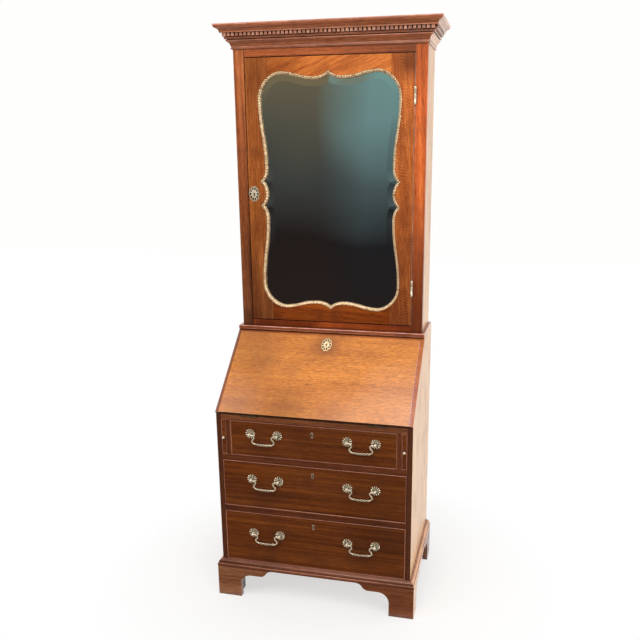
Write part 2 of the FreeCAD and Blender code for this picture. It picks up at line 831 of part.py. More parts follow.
def bail_shape():
    """Swan-neck bail with beads on its bar, hanging from the pivot line at the origin."""
    wire = number("wire_radius")
    tip = number("handle_boring / 2 - running_gap")
    start = number("neck_start")
    neck = number("neck_radius")
    elbow = number("elbow_radius")
    drop = number("bail_drop")
    low = 2 * neck + elbow
    sweep = drop - low
    bar = start + elbow - sweep
    slant = math.sqrt(0.5)

    def point(x, z):
        return Vector(x, 0, z)

    def half(sign):
        stops = [
            (start - neck, -neck, start, -2 * neck),
            (start + elbow * slant, -low + elbow * slant, start + elbow, -low),
            (bar + sweep * slant, -low - sweep * slant, bar, -drop),
        ]
        last = point(sign * start, 0)
        edges = [Part.makeLine(point(sign * tip, 0), last)]
        for through_x, through_z, x, z in stops:
            end = point(sign * x, z)
            edges.append(Part.Arc(last, point(sign * through_x, through_z), end).toShape())
            last = end
        return edges

    path = half(-1) + [Part.makeLine(point(-bar, -drop), point(bar, -drop))]
    path += list(reversed(half(1)))
    spine = Part.Wire(Part.__sortEdges__(path))
    ring = Part.Wire(Part.makeCircle(wire, point(-tip, 0), Vector(1, 0, 0)))
    rail = spine.makePipeShell([ring], True, False)
    bead = number("bead_radius")
    pitch = number("bead_pitch")
    reach = number("long_bead_half")
    places = [i * pitch + math.copysign(reach - bead, i) for i in (-2, -1, 1, 2)]
    beads = [Part.makeSphere(bead, point(x, -drop)) for x in places]
    arc = Part.Arc(point(-reach, 0), point(0, bead), point(reach, 0)).toShape()
    lens = Part.Face(Part.Wire([arc, Part.makeLine(point(reach, 0), point(-reach, 0))]))
    long_bead = lens.revolve(Vector(), Vector(1, 0, 0), 360)
    long_bead.translate(point(0, -drop))
    return rail.multiFuse(beads + [long_bead])


def long_drawer(label, half, floor, top, handle_rise):
    """One long drawer: beaded front, linings, lock with its keyhole liner, and two bails."""
    x = (f"-({half} - drawer_gap)", f"{half} - drawer_gap")
    z = (f"{floor} + slide_gap", f"{top} - drawer_top_gap")
    inner_x = (f"{x[0]} + bead_thick", f"{x[1]} - bead_thick")
    inner_z = (f"{z[0]} + bead_thick", f"{z[1]} - bead_thick")
    key_z = f"{top} - key_drop"

    hole = keyhole_liner_face(0).extrude(Vector(0, number("front_thick"), 0))
    panel = cut(f"{label}_panel", board(f"{label}_board", inner_x, ("0", "front_thick"), inner_z),
                [shaped(f"{label}_keyhole", hole, "0", "0", key_z)])
    node(f"{label}_front", group(f"{label}_front", [panel] + beaded_front(label, x, z)))

    lining_z = (z[0], f"{z[1]} - lining_drop")
    run = ("front_thick", "drawer_length")
    floor_z = (f"{z[0]} + drawer_floor_rise", f"{z[0]} + drawer_floor_rise + drawer_floor_thick")
    box_x = (f"{x[0]} + lining_thick", f"{x[1]} - lining_thick")
    box = [
        board(f"{label}_side_left", (x[0], box_x[0]), run, lining_z),
        board(f"{label}_side_right", (box_x[1], x[1]), run, lining_z),
        board(f"{label}_end", box_x, ("drawer_length - lining_thick", "drawer_length"), lining_z),
        board(f"{label}_floor", box_x, ("front_thick", "drawer_length - lining_thick"), floor_z),
    ]
    node(f"{label}_box", group(f"{label}_box", box))

    lock_x = ("-lock_width / 2", "lock_width / 2")
    lock_y = ("front_thick", "front_thick + lock_thick")
    lock_z = (f"{inner_z[1]} - lock_height", inner_z[1])
    case = board(f"{label}_lock_case", lock_x, lock_y, lock_z)
    ring = keyhole_liner_face(0).cut(keyhole_liner_face(number("liner_wall")))
    ring = ring.extrude(Vector(0, number("liner_depth + liner_out"), 0))
    liner = shaped(f"{label}_liner", ring, "0", "-liner_out", key_z)
    node(f"{label}_lock", group(f"{label}_lock", [case, liner]))

    pivot_z = f"({floor} + {top}) / 2 + {handle_rise}"
    roses = []
    about = FreeCAD.Rotation(Vector(0, 1, 0), 180)
    for side, hand in SIDES:
        middle = at(hand, "handle_place")
        for end, way in SIDES:
            place = f"{middle} + {way} * handle_boring / 2"
            turn = FreeCAD.Rotation() if way < 0 else about
            name = f"{label}_rose_{side}_{end}"
            roses.append(shaped(name, rosette_shape(), place, "0", pivot_z, turn))
        bail = shaped(f"{label}_bail_{side}", bail_shape(), middle, "-bail_out", pivot_z)
        node(f"{label}_bail_{side}", bail)
    node(f"{label}_handle_plates", group(f"{label}_handle_plates", roses))


def long_drawers():
    long_drawer("top_drawer", "half_top_drawer", "top_floor", "top_top", "top_handle_rise")
    long_drawer("middle_drawer", "half_inside", "mid_floor", "mid_top", "mid_handle_rise")
    long_drawer("bottom_drawer", "half_inside", "base_top", "low_top", "low_handle_rise")


def desk_interior():
    """Pigeonholes over two small drawers, behind the fall."""
    half = "fitting_board / 2"
    run = ("fitting_front", "inside_back")
    shelf_top = "fitting_shelf + fitting_board"
    inside = ("-half_inside", "half_inside")
    boards = [
        board("fitting_shelf_board", inside, run, ("fitting_shelf", shelf_top)),
        board("fitting_post", (f"-{half}", half), run, ("bed_top", "fitting_shelf")),
    ]
    holes = int(number("pigeonholes"))
    for i in range(1, holes):
        middle = f"half_inside * {2 * i - holes} / {holes}"
        x = (f"{middle} - {half}", f"{middle} + {half}")
        boards.append(board(f"pigeonhole_divider_{i}", x, run, (shelf_top, "top_under")))
    node("pigeonhole_boards", group("pigeonhole_boards", boards))

    knob = knob_outline("small_knob_radius", "small_knob_neck", "small_knob_stem", "small_knob_out")
    for side, hand in SIDES:
        label = f"small_drawer_{side}"
        x = span(hand, f"{half} + small_drawer_gap", "half_inside - small_drawer_gap")
        z = ("bed_top + slide_gap", "fitting_shelf - small_drawer_gap")
        back = "inside_back - small_drawer_back_gap"
        front = "fitting_front + small_front_thick"
        box_x = (f"{x[0]} + small_lining", f"{x[1]} - small_lining")
        low_z = (z[0], f"{z[0]} + small_lining")
        wall_z = (low_z[1], f"{z[1]} - small_lining")
        pieces = [
            board(f"{label}_front", x, ("fitting_front", front), z),
            board(f"{label}_floor", x, (front, back), low_z),
            board(f"{label}_wall_left", (x[0], box_x[0]), (front, back), wall_z),
            board(f"{label}_wall_right", (box_x[1], x[1]), (front, back), wall_z),
            board(f"{label}_end", box_x, (f"{back} - small_lining", back), wall_z),
        ]
        node(label, group(label, pieces))
        place = (f"({x[0]} + {x[1]}) / 2", "fitting_front", f"({z[0]} + {z[1]}) / 2")
        node(f"{label}_knob", turned(f"{label}_knob", knob, *place))


def bookcase():
    """Carcase, face frame, shelves and pins of the upper part."""
    face_back = "book_front + face_thick"
    door_clear = "book_front + max(face_thick; door_thick)"
    inside = ("-half_book_inside", "half_book_inside")
    levels = ("case_top", "carcase_top")
    back_front = "case_depth - back_thick"
    depth = (face_back, back_front)
    count = int(number("shelves"))
    low = "(case_top + book_board)"
    high = "(carcase_top - book_board)"
    shelf_depth = (f"{door_clear} + shelf_setback", f"{back_front} - shelf_gap")
    shelf_x = ("-(half_book_inside - shelf_gap)", "half_book_inside - shelf_gap")
    shelves = []
    pins = []
    holes = {"left": [], "right": []}
    for i in range(1, count + 1):
        shelf_z = f"{low} + ({high} - {low}) * {i} / {count + 1}"
        shelves.append(board(f"shelf_{i}", shelf_x, shelf_depth, (shelf_z, f"{shelf_z} + shelf_thick")))
        rows = (f"{shelf_depth[0]} + shelf_pin_inset", f"{shelf_depth[1]} - shelf_pin_inset")
        for side, hand in SIDES:
            x = span(hand, "half_book_inside - shelf_pin_out", "half_book_inside + shelf_pin_in")
            for end, y in zip(("front", "back"), rows):
                name = f"shelf_pin_{i}_{side}_{end}"
                place = (x[0], y, f"{shelf_z} - shelf_pin_radius")
                long = between(*x)
                pins.append(rod(name, "x", "shelf_pin_radius", long, *place))
                holes[side].append(rod(f"{name}_hole", "x", "shelf_pin_radius", long, *place))
    for side, hand in SIDES:
        label = f"bookcase_side_{side}"
        width = span(hand, "half_book_inside", "half_book")
        panel = board(f"{label}_board", width, (face_back, "case_depth"), levels)
        node(label, cut(label, panel, holes[side]))
    node("bookcase_shelves", group("bookcase_shelves", shelves))
    node("shelf_pins", group("shelf_pins", pins))
    node("bookcase_bottom", board("bookcase_bottom", inside, depth, ("case_top", low)))
    node("bookcase_top", board("bookcase_top", inside, depth, (high, "carcase_top")))
    node("bookcase_back", board("bookcase_back", inside, (back_front, "case_depth"), levels))


def cornice_profile(sign):
    """Section of the cornice, from its bottom bead through a cove and the dentil band to its cap."""
    def out(size):
        return f"{sign} * ({size})"

    def up(size):
        return f"cornice_floor + {size}"
    cove_rise = "(cove_top - cornice_bead)"
    cove_run = "(cove_out - cornice_bead_out)"
    cove = f"({cove_run} ^ 2 + {cove_rise} ^ 2) / (2 * {cove_run})"
    band = "cove_top + cornice_fillet"
    corona = f"{band} + dentil_height"
    cyma = f"{corona} + corona_height"
    cap = "cornice_height - cornice_cap"
    bow_run = "((cornice_out - corona_out) / 2)"
    bow_rise = f"(({cap} - ({cyma})) / 2)"
    bow = f"({bow_run} ^ 2 + {bow_rise} ^ 2) / (2 * {bow_run})"
    return [
        ("0", "cornice_floor"),
        (out("cornice_bead_out"), "cornice_floor"),
        (out("cornice_bead_out"), up("cornice_bead")),
        (out("cove_out"), up("cove_top"), cove, -sign),
        (out("cove_out + cornice_bead_out / 2"), up("cove_top")),
        (out("cove_out + cornice_bead_out / 2"), up(band)),
        (out("dentil_out"), up(band)),
        (out("dentil_out"), up(corona)),
        (out("corona_out"), up(corona)),
        (out("corona_out"), up(cyma)),
        (out(f"corona_out + {bow_run}"), up(f"{cyma} + {bow_rise}"), bow, -sign),
        (out("cornice_out"), up(cap), bow, sign),
        (out("cornice_out"), "cornice_top"),
        ("0", "cornice_top"),
    ]


def dentil_slots():
    """The gaps between the dentils: along the front first, then along each side."""
    pitch = number("dentil_pitch")
    slot = number("dentil_slot")
    deep = number("dentil_out - dentil_back")
    tall = number("dentil_height")
    half = number("half_book + dentil_out")
    front = number("book_front - dentil_out")
    back = number("case_depth")
    low = number("cornice_floor + cove_top + cornice_fillet")
    tools = {"front": [], "left": [], "right": []}
    across = int((half - slot) / pitch)
    for i in range(-across, across):
        corner = Vector((i + 0.5) * pitch - slot / 2, front, low)
        tools["front"].append(Part.makeBox(slot, deep, tall, corner))
    tooth = pitch - slot
    along = int((back - front) / pitch)
    for i in range(along):
        y = front + tooth + i * pitch
        tools["left"].append(Part.makeBox(deep, slot, tall, Vector(-half, y, low)))
        tools["right"].append(Part.makeBox(deep, slot, tall, Vector(half - deep, y, low)))
    return tools


def cornice():
    levels = ("cornice_floor", "cornice_top")
    edges = ("half_book", "book_front", "case_depth", "cornice_out")
    runs = mitred_runs("cornice", *edges, cornice_profile, levels)
    slots = dentil_slots()
    pieces = []
    for run, side in zip(runs, ("front", "left", "right")):
        tool = shaped(f"dentil_slots_{side}", Part.makeCompound(slots[side]))
        pieces.append(cut(f"cornice_{side}_dentils", run, [tool]))
    node("cornice", group("cornice", pieces))


def swing(start, heading, end):
    """Arc from one point to another that leaves the first along a heading."""
    chord = end - start
    across = heading - chord * (heading.dot(chord) / chord.dot(chord))
    angle = heading.getAngle(chord)
    middle = start + chord * 0.5 + across.normalize() * (chord.Length / 2 * math.tan(angle / 2))
    return (start, middle, end)


def s_curve(start, heading, end):
    """Two like arcs that leave and arrive along the same heading."""
    middle = (start + end) * 0.5
    return [swing(start, heading, middle), swing(end, heading * -1, middle)]


def mirror_outline():
    """Edge of the mirror opening about its own middle, the same in each quarter."""
    wide = number("mirror_half_width")
    high = number("mirror_half_height")
    cusp = Vector(wide, 0, number("cusp_half"))
    waist = Vector(wide - number("waist_depth"), 0, number("waist_height"))
    shoulder = Vector(wide, 0, high - number("shoulder_drop"))
    crown = Vector(wide - number("shoulder_width"), 0, high)
    dip = Vector(number("crest_half"), 0, high - number("dip_depth"))
    peak = Vector(0, 0, high)
    up = Vector(0, 0, 1)
    inward = Vector(-1, 0, 0)
    quarter = [swing(waist, up * -1, cusp), swing(shoulder, up, crown), swing(dip, inward, peak)]
    quarter += s_curve(waist, up, shoulder) + s_curve(crown, inward, dip)
    lobe = (cusp, Vector(wide - number("lobe_depth"), 0, 0), Vector(cusp.x, 0, -cusp.z))
    edges = []
    for sign in (1, -1):
        edges.append([Vector(p.x * sign, 0, p.z) for p in lobe])
        for tall in (1, -1):
            edges += [[Vector(p.x * sign, 0, p.z * tall) for p in arc] for arc in quarter]
    wires = [Part.Arc(*points).toShape() for points in edges]
    return Part.Wire(Part.__sortEdges__(wires))


def mirror_slab(outset, depth):
    """Solid of the mirror's outline, moved out or in by some distance."""
    wire = mirror_outline()
    if outset:
        wire = wire.makeOffset2D(outset)
    return Part.Face(wire).extrude(Vector(0, depth, 0))


def door():
    """Framed door with a shaped mirror, held by a gilt slip in front and a board behind."""
    lip_back = "book_front + door_lip"
    back = "book_front + door_thick"
    cover = number("mirror_cover")
    rest = number("door_thick - door_lip")
    window = shaped("door_window", mirror_slab(0, number("door_lip")), "0", "book_front", "door_middle")
    rebate = shaped("door_rebate", mirror_slab(cover, rest), "0", lip_back, "door_middle")

    key_x = "-(half_door - door_key_inset)"
    lock_edge = "-half_door + door_gap"
    lock_x = (lock_edge, f"{lock_edge} + door_lock_width")
    lock_y = (f"{back} - door_lock_thick", back)
    lock_z = ("door_middle - door_lock_height / 2", "door_middle + door_lock_height / 2")
    mortise = board("door_lock_mortise", lock_x, lock_y, lock_z)
    key = keyhole_tool("door_key", key_x, "book_front", "door_middle", "y", "door_thick")
    seats, door_leaves, frame_leaves, frame_seats = door_hinges()

    stile_inner = "half_door - door_stile"
    parts = {
        "stile_left": ("-half_door", f"-({stile_inner})"),
        "stile_right": (stile_inner, "half_door"),
        "rails": (f"-({stile_inner})", stile_inner),
    }
    pieces = []
    for name, x in parts.items():
        blank = board(f"door_{name}_blank", x, ("book_front", back), ("door_floor", "door_top"))
        tools = [window, rebate]
        if name == "stile_left":
            tools += [mortise] + key
        if name == "stile_right":
            tools += seats
        pieces.append(cut(f"door_{name}", blank, tools))
    node("door_frame", group("door_frame", pieces))
    node("door_hinge_leaves", group("door_hinge_leaves", door_leaves))
    node("frame_hinge_leaves", group("frame_hinge_leaves", frame_leaves))
    case = board("door_lock_case", lock_x, lock_y, lock_z)
    key = keyhole_tool("door_lock_key", key_x, lock_y[0], "door_middle", "y", "door_lock_thick")
    node("door_lock", cut("door_lock", case, key))
    upright = FreeCAD.Rotation(Vector(1, 0, 0), 90)
    plate = shaped("door_escutcheon", escutcheon_shape(), key_x, "book_front", "door_middle", upright)
    node("door_escutcheon", plate)

    seat = cover - number("mirror_gap")
    glass = mirror_slab(seat, number("mirror_thick"))
    node("mirror_glass", shaped("mirror_glass", glass, "0", lip_back, "door_middle"))
    panel = mirror_slab(seat, rest - number("mirror_thick"))
    panel_y = f"{lip_back} + mirror_thick"
    node("door_back_panel", shaped("door_back_panel", panel, "0", panel_y, "door_middle"))
    gap = number("slip_gap")
    deep = number("door_lip + slip_out")
    slip = mirror_slab(-gap, deep).cut(mirror_slab(-gap - number("slip_width"), deep))
    node("gilt_slip", shaped("gilt_slip", slip, "0", "book_front - slip_out", "door_middle"))
    face_frame(frame_seats)


def door_hinges():
    """Two butt hinges on the door's right edge. The frame leaves hold the pins and their ball tips."""
    axis_x = "half_door + door_gap / 2"
    axis_y = "book_front - door_hinge_out"
    third = "door_hinge_length / 3"
    plate_y = ("book_front", "book_front + door_leaf_width")
    tongue_y = (axis_y, "book_front")
    door_x = ("half_door - leaf_thick", "half_door")
    frame_x = ("half_door_bay", "half_door_bay + leaf_thick")
    seats = []
    door_leaves = []
    frame_leaves = []
    frame_seats = []
    middles = {"low": "door_floor + door_hinge_place", "high": "door_top - door_hinge_place"}
    for place, middle in middles.items():
        start = f"{middle} - door_hinge_length / 2"
        whole = (start, f"{start} + door_hinge_length")
        own = (f"{start} + {third} + knuckle_gap", f"{start} + 2 * {third} - knuckle_gap")

        def knuckle(name, low, high, radius):
            return rod(name, "z", radius, between(low, high), axis_x, axis_y, low)

        solid = fuse(f"door_leaf_{place}_solid", [
            board(f"door_leaf_{place}_plate", door_x, plate_y, whole),
            board(f"door_leaf_{place}_tongue", door_x, tongue_y, own),
            knuckle(f"door_leaf_{place}_knuckle", *own, "knuckle_radius"),
        ])
        bore = knuckle(f"door_leaf_{place}_bore", *whole, "pin_radius + running_gap")
        door_leaves.append(cut(f"door_leaf_{place}", solid, [bore]))
        pieces = [
            board(f"frame_leaf_{place}_plate", frame_x, plate_y, whole),
            knuckle(f"frame_leaf_{place}_pin", *whole, "pin_radius"),
        ]
        stretches = ((whole[0], f"{start} + {third}"), (f"{start} + 2 * {third}", whole[1]))
        for end, stretch in zip("ab", stretches):
            pieces.append(board(f"frame_leaf_{place}_tongue_{end}", frame_x, tongue_y, stretch))
            pieces.append(knuckle(f"frame_leaf_{place}_knuckle_{end}", *stretch, "knuckle_radius"))
        for end, level in zip("ab", whole):
            tip = doc.addObject("Part::Sphere", f"frame_leaf_{place}_tip_{end}")
            tip.setExpression("Radius", bind("knuckle_radius"))
            pieces.append(put(tip, axis_x, axis_y, level))
        frame_leaves.append(fuse(f"frame_leaf_{place}", pieces))
        seats.append(board(f"door_seat_{place}", door_x, plate_y, whole))
        frame_seats.append(board(f"frame_seat_{place}", frame_x, plate_y, whole))
    return seats, door_leaves, frame_leaves, frame_seats


def face_frame(seats):
    """Stiles and rails round the door. The right stile is let in for the hinge leaves."""
    face = ("book_front", "book_front + face_thick")
    rail_x = ("-half_door_bay", "half_door_bay")
    levels = ("case_top", "carcase_top")
    right = board("face_stile_right_blank", ("half_door_bay", "half_book"), face, levels)
    pieces = [
        board("face_stile_left", ("-half_book", "-half_door_bay"), face, levels),
        cut("face_stile_right", right, seats),
        board("face_rail_low", rail_x, face, ("case_top", "door_bay_floor")),
        board("face_rail_high", rail_x, face, ("door_bay_top", "carcase_top")),
    ]
    node("bookcase_face_frame", group("bookcase_face_frame", pieces))


def check():
    """Stop if any object failed or any sub-part has no sound shape."""
    for thing in doc.Objects:
        if "Invalid" in thing.State or "Error" in thing.State:
            raise RuntimeError(f"{thing.Label} failed: {thing.State}")
    for label, thing in nodes.items():
        shape = thing.Shape
        if shape.isNull() or not shape.isValid() or not shape.Solids:
            raise RuntimeError(f"{label} has no sound shape")
        if thing.Label != label:
            raise RuntimeError(f"{label} is labelled {thing.Label}")


def write():
    os.makedirs("parts", exist_ok=True)
    for label, thing in nodes.items():
        thing.Shape.exportStep(f"parts/{label}.step")


bureau_case()
base_moulding()
bracket_feet()
fall()
lopers()
long_drawers()
desk_interior()
bookcase()
cornice()
door()
doc.recompute()
check()
write()
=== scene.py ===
"""Looks of the bureau bookcase: polished mahogany, aged brass, a carved gilt slip and a bevelled mirror."""
import json
from math import asin, copysign, cos, exp, hypot, pi, radians, sin, sqrt

import bmesh
import bpy
import numpy as np
from mathutils import Matrix, Vector, geometry


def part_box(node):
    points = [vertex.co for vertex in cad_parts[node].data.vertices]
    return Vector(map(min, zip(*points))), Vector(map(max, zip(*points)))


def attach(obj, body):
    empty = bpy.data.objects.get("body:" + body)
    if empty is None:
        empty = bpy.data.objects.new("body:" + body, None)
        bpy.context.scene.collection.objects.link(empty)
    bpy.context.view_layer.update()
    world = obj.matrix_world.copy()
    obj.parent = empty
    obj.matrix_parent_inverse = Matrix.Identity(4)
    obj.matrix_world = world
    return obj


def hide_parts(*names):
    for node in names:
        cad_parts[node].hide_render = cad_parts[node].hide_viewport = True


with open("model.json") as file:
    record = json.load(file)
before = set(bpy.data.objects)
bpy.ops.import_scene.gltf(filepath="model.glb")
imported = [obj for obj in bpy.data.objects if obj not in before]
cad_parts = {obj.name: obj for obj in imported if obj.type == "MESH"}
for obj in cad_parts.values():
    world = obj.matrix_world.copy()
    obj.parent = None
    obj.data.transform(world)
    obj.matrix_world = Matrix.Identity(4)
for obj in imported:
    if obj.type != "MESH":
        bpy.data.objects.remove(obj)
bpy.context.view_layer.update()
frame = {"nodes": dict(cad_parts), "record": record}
nodes = frame["nodes"]
body_of = {n: b for b, members in frame["record"]["behaviour"]["bodies"].items() for n in members}
slot_of = {s["node"]: s["material_slot"] for s in frame["record"]["subparts"]}
scene = bpy.context.scene
MM = 0.001
SAME_CORNER = 0.001 * MM
WELD = 0.002 * MM
LOOSE_WELD = 0.01 * MM
FULL_TURN = 2 * pi


# Shader graphs

class Graph:
    """Node tree of a material or a world, built from short calls."""

    def __init__(self, owner):
        self.owner = owner
        owner.use_nodes = True
        self.tree = owner.node_tree
        self.tree.nodes.clear()

    def add(self, kind, inputs=None, **settings):
        made = self.tree.nodes.new(kind)
        for key, value in settings.items():
            setattr(made, key, value)
        for key, value in (inputs or {}).items():
            self.feed(made.inputs[key], value)
        return made

    def feed(self, socket, value):
        if isinstance(value, bpy.types.NodeSocket):
            self.tree.links.new(value, socket)
        else:
            socket.default_value = value

    def math(self, operation, first, second=0.0, clamp=False):
        made = self.add("ShaderNodeMath", {0: first, 1: second}, operation=operation, use_clamp=clamp)
        return made.outputs[0]

    def total(self, *terms):
        """Sum of values, each times a number of its own."""
        products = [self.math("MULTIPLY", value, share) for value, share in terms]
        whole = products[0]
        for product in products[1:]:
            whole = self.math("ADD", whole, product)
        return whole

    def attribute(self, name, output):
        return self.add("ShaderNodeAttribute", attribute_name=name).outputs[output]

    def place(self):
        """Places in the frame, with the part at rest."""
        return self.add("ShaderNodeTexCoord").outputs["Object"]

    def axis(self, vector, index):
        return self.add("ShaderNodeSeparateXYZ", {0: vector}).outputs[index]

    def openness(self, distance):
        """How open a place is: low in hollows and corners."""
        return self.add("ShaderNodeAmbientOcclusion", {"Distance": distance}, samples=6).outputs["AO"]

    def seen(self):
        """1 for the eye, reflections and glass, 0 for the light that falls on things."""
        path = self.add("ShaderNodeLightPath")
        rays = [path.outputs[ray] for ray in ("Is Camera Ray", "Is Glossy Ray", "Is Transmission Ray")]
        return self.math("MAXIMUM", self.math("MAXIMUM", rays[0], rays[1]), rays[2])

    def noise(self, vector, scale, detail=2.0, roughness=0.5, distortion=0.0):
        """Noise with so many waves to a metre, given once or for each axis."""
        waves = scale if isinstance(scale, tuple) else (scale,) * 3
        scaled = self.add("ShaderNodeVectorMath", {0: vector, 1: waves}, operation="MULTIPLY").outputs[0]
        inputs = {"Vector": scaled, "Scale": 1.0, "Detail": detail, "Roughness": roughness,
                  "Distortion": distortion}
        return self.add("ShaderNodeTexNoise", inputs).outputs[0]

    def between(self, value, low, high, to_low=0.0, to_high=1.0):
        inputs = {0: value, 1: low, 2: high, 3: to_low, 4: to_high}
        return self.add("ShaderNodeMapRange", inputs).outputs[0]

    def mix(self, factor, first, second, blend="MIX"):
        made = self.add("ShaderNodeMix", data_type="RGBA", blend_type=blend)
        for index, value in ((0, factor), (6, first), (7, second)):
            self.feed(made.inputs[index], (*value, 1.0) if isinstance(value, tuple) else value)
        return made.outputs[2]

    def ramp(self, value, stops):
        made = self.add("ShaderNodeValToRGB", {0: value})
        elements = made.color_ramp.elements
        while len(elements) < len(stops):
            elements.new(0.5)
        for element, (place, colour) in zip(elements, stops):
            element.position = place
            element.color = (*colour, 1.0)
        return made.outputs[0]

    def bump(self, height, strength, distance):
        inputs = {"Height": height, "Strength": strength, "Distance": distance}
        return self.add("ShaderNodeBump", inputs).outputs[0]

    def output(self, shader, kind="ShaderNodeOutputMaterial"):
        self.add(kind, {"Surface": shader.outputs[0]})
        return self.owner

    def finish(self, inputs):
        return self.output(self.add("ShaderNodeBsdfPrincipled", inputs))


def new_graph(name):
    return Graph(bpy.data.materials.new(name))


def shade(colour, share):
    return tuple(c * share for c in colour)


# Timber, metal, gilding and glass

BANDED_SHARE, BROAD_SHARE = 0.72, 0.28
TONE_STOPS = (0.37, 0.5, 0.63)
CURL_ALONG, CURL_BEND, CURL_ACROSS = 640.0, 36.0, 260.0
JOINT_SHADOW = 11 * MM
CAST_SHADOW = 4 * MM
GRAIN_RELIEF = 0.4 * MM
CARVED_RELIEF = 0.8 * MM


def curl(g, grain):
    """Curled figure: ripples across the grain, in patches, as far as the figure attribute says."""
    bent = g.noise(grain, (7, 22, 22), 3, 0.55)
    phase = g.total((g.axis(grain, 0), CURL_ALONG), (bent, CURL_BEND), (g.axis(grain, 1), CURL_ACROSS))
    ripple = g.math("MULTIPLY", g.math("SINE", phase), g.attribute("figure", "Fac"))
    patch = g.between(g.noise(grain, (5, 16, 16)), 0.45, 0.66, 0.0, 0.07)
    return g.math("MULTIPLY", ripple, patch)


def wood(name, dark, middle, light, polish, fleck=0.35, dark_patches=(), painted_sheens=(), worn_and_painted_light=(0.50, 0.25, 0.16),
         painted_light_by_height=None, coat=0.3, streak=0.38, mottle=0.5, fibre_run=24):
    """Polished timber. The grain attribute holds places along, across and into each board.

    dark_patches: darker patches, each with its middle, the radii of its core and rim, and its strength.
    painted_sheens: pale patches of painted sheen, given as the dark patches are.
    painted_light_by_height: painted light and shade by height: two heights, and the share of the colour kept
    at each.
    streak, mottle: how far fine fibres and soft dark clouds show.
    fibre_run: fibres to a metre along the grain.
    """
    g = new_graph(name)
    grain, where = g.attribute("grain", "Vector"), g.place()
    broad = g.noise(grain, (1.6, 12, 12), 3, 0.55)
    bands = g.noise(grain, (1.1, 80, 80), 5, 0.65, 0.4)
    fibre = g.noise(grain, (fibre_run, 430, 430), 3, 0.65)
    pores = g.between(g.noise(grain, (62, 800, 800), 1, 0.5), 0.57, 0.70)
    blotch = g.noise(where, 9, 4, 0.55)
    tone = g.total((bands, BANDED_SHARE - streak), (broad, BROAD_SHARE), (fibre, streak))
    colour = g.ramp(g.math("ADD", tone, curl(g, grain)), tuple(zip(TONE_STOPS, (dark, middle, light))))
    colour = g.mix(g.math("MULTIPLY", pores, fleck), colour, shade(dark, 0.4))
    colour = g.mix(g.between(blotch, 0.50, 0.72, 0, mottle), colour, dark)
    # Darker patches, and pale patches of painted sheen.
    for patches, hue in ((dark_patches, shade(dark, 0.6)), (painted_sheens, worn_and_painted_light)):
        for spot, core, rim, strength in patches:
            away = g.add("ShaderNodeVectorMath", {0: where, 1: spot}, operation="DISTANCE").outputs["Value"]
            edge = g.math("ADD", away, g.math("MULTIPLY", blotch, 0.5 * rim))
            colour = g.mix(g.between(edge, core + 0.2 * rim, 1.3 * rim, strength, 0.0), colour, hue)
    # Eased edges: wear, with painted highlights on most timbers and painted shade round the door.
    rubbed_and_lit = g.between(g.noise(where, 30, 3), 0.35, 0.65, 0.15, 0.6)
    colour = g.mix(g.math("MULTIPLY", g.attribute("edge_wear_and_light", "Fac"), rubbed_and_lit), colour, worn_and_painted_light)
    colour = g.mix(1.0, colour, g.attribute("tone", "Color"), "MULTIPLY")
    # Painted light and shade by height.
    if painted_light_by_height:
        wander = g.math("MULTIPLY", g.math("SUBTRACT", broad, 0.5), 0.5)
        share = g.between(g.math("ADD", g.axis(where, 2), wander), *painted_light_by_height)
        kept = g.add("ShaderNodeCombineColor", {0: share, 1: share, 2: share}).outputs[0]
        colour = g.mix(1.0, colour, kept, "MULTIPLY")
    # Painted shade: darker in joints, hollows and gaps between parts.
    colour = g.mix(g.between(g.openness(JOINT_SHADOW), 0.25, 0.82, 0.85, 0.0), colour, shade(dark, 0.12))
    uneven = g.math("ADD", blotch, g.math("MULTIPLY", fibre, 0.5))
    relief = g.math("SUBTRACT", g.math("MULTIPLY", fibre, 0.4), g.math("MULTIPLY", pores, 0.8))
    return g.finish({
        "Base Color": colour, "Roughness": g.between(uneven, 0.4, 1.1, polish - 0.08, polish + 0.12),
        "Normal": g.bump(relief, 0.18, GRAIN_RELIEF), "Specular IOR Level": 0.35, "Coat Weight": coat,
        "Coat Roughness": 0.14,
    })


def metal(name, bright, dull, rough):
    """Cast brass, bright on its high parts, and brown in hollows and where the attribute for tarnish and
    shade says: tarnish on the handles, painted shade in the escutcheons' holes.
    """
    g = new_graph(name)
    place = g.place()
    patina = g.noise(place, 160, 4, 0.6)
    cloud = g.noise(place, 40)
    high_parts = g.between(g.openness(CAST_SHADOW), 0.3, 0.9, 0.0, 0.85)
    shine = g.math("ADD", high_parts, g.between(patina, 0.35, 0.6, -0.2, 0.2), True)
    shine = g.math("SUBTRACT", shine, g.attribute("tarnish_and_shade", "Fac"), True)
    return g.finish({
        "Base Color": g.mix(shine, dull, bright), "Metallic": 0.5,
        "Roughness": g.between(cloud, 0.35, 0.65, rough + 0.12, rough - 0.05),
        "Normal": g.bump(patina, 0.12, GRAIN_RELIEF),
    })


def gilding():
    """Water gilding on carved wood: pale leaf, rubbed through to red clay, and dark in the hollows."""
    g = new_graph("gilt")
    place = g.place()
    leaf = g.noise(place, 220, 3, 0.6)
    rubbed_and_lit = g.noise(place, 90, 4, 0.65)
    colour = g.ramp(leaf, ((0.3, (0.40, 0.21, 0.08)), (0.5, (0.82, 0.57, 0.32)), (0.7, (0.98, 0.84, 0.62))))
    colour = g.mix(g.between(rubbed_and_lit, 0.54, 0.66, 0, 0.8), colour, (0.26, 0.09, 0.04))
    colour = g.mix(g.between(g.openness(CAST_SHADOW), 0.3, 0.85, 0.85, 0.0), colour, (0.10, 0.035, 0.015))
    return g.finish({
        "Base Color": colour, "Metallic": 0.35, "Roughness": g.between(leaf, 0.3, 0.7, 0.5, 0.32),
        "Normal": g.bump(rubbed_and_lit, 0.35, CARVED_RELIEF),
    })


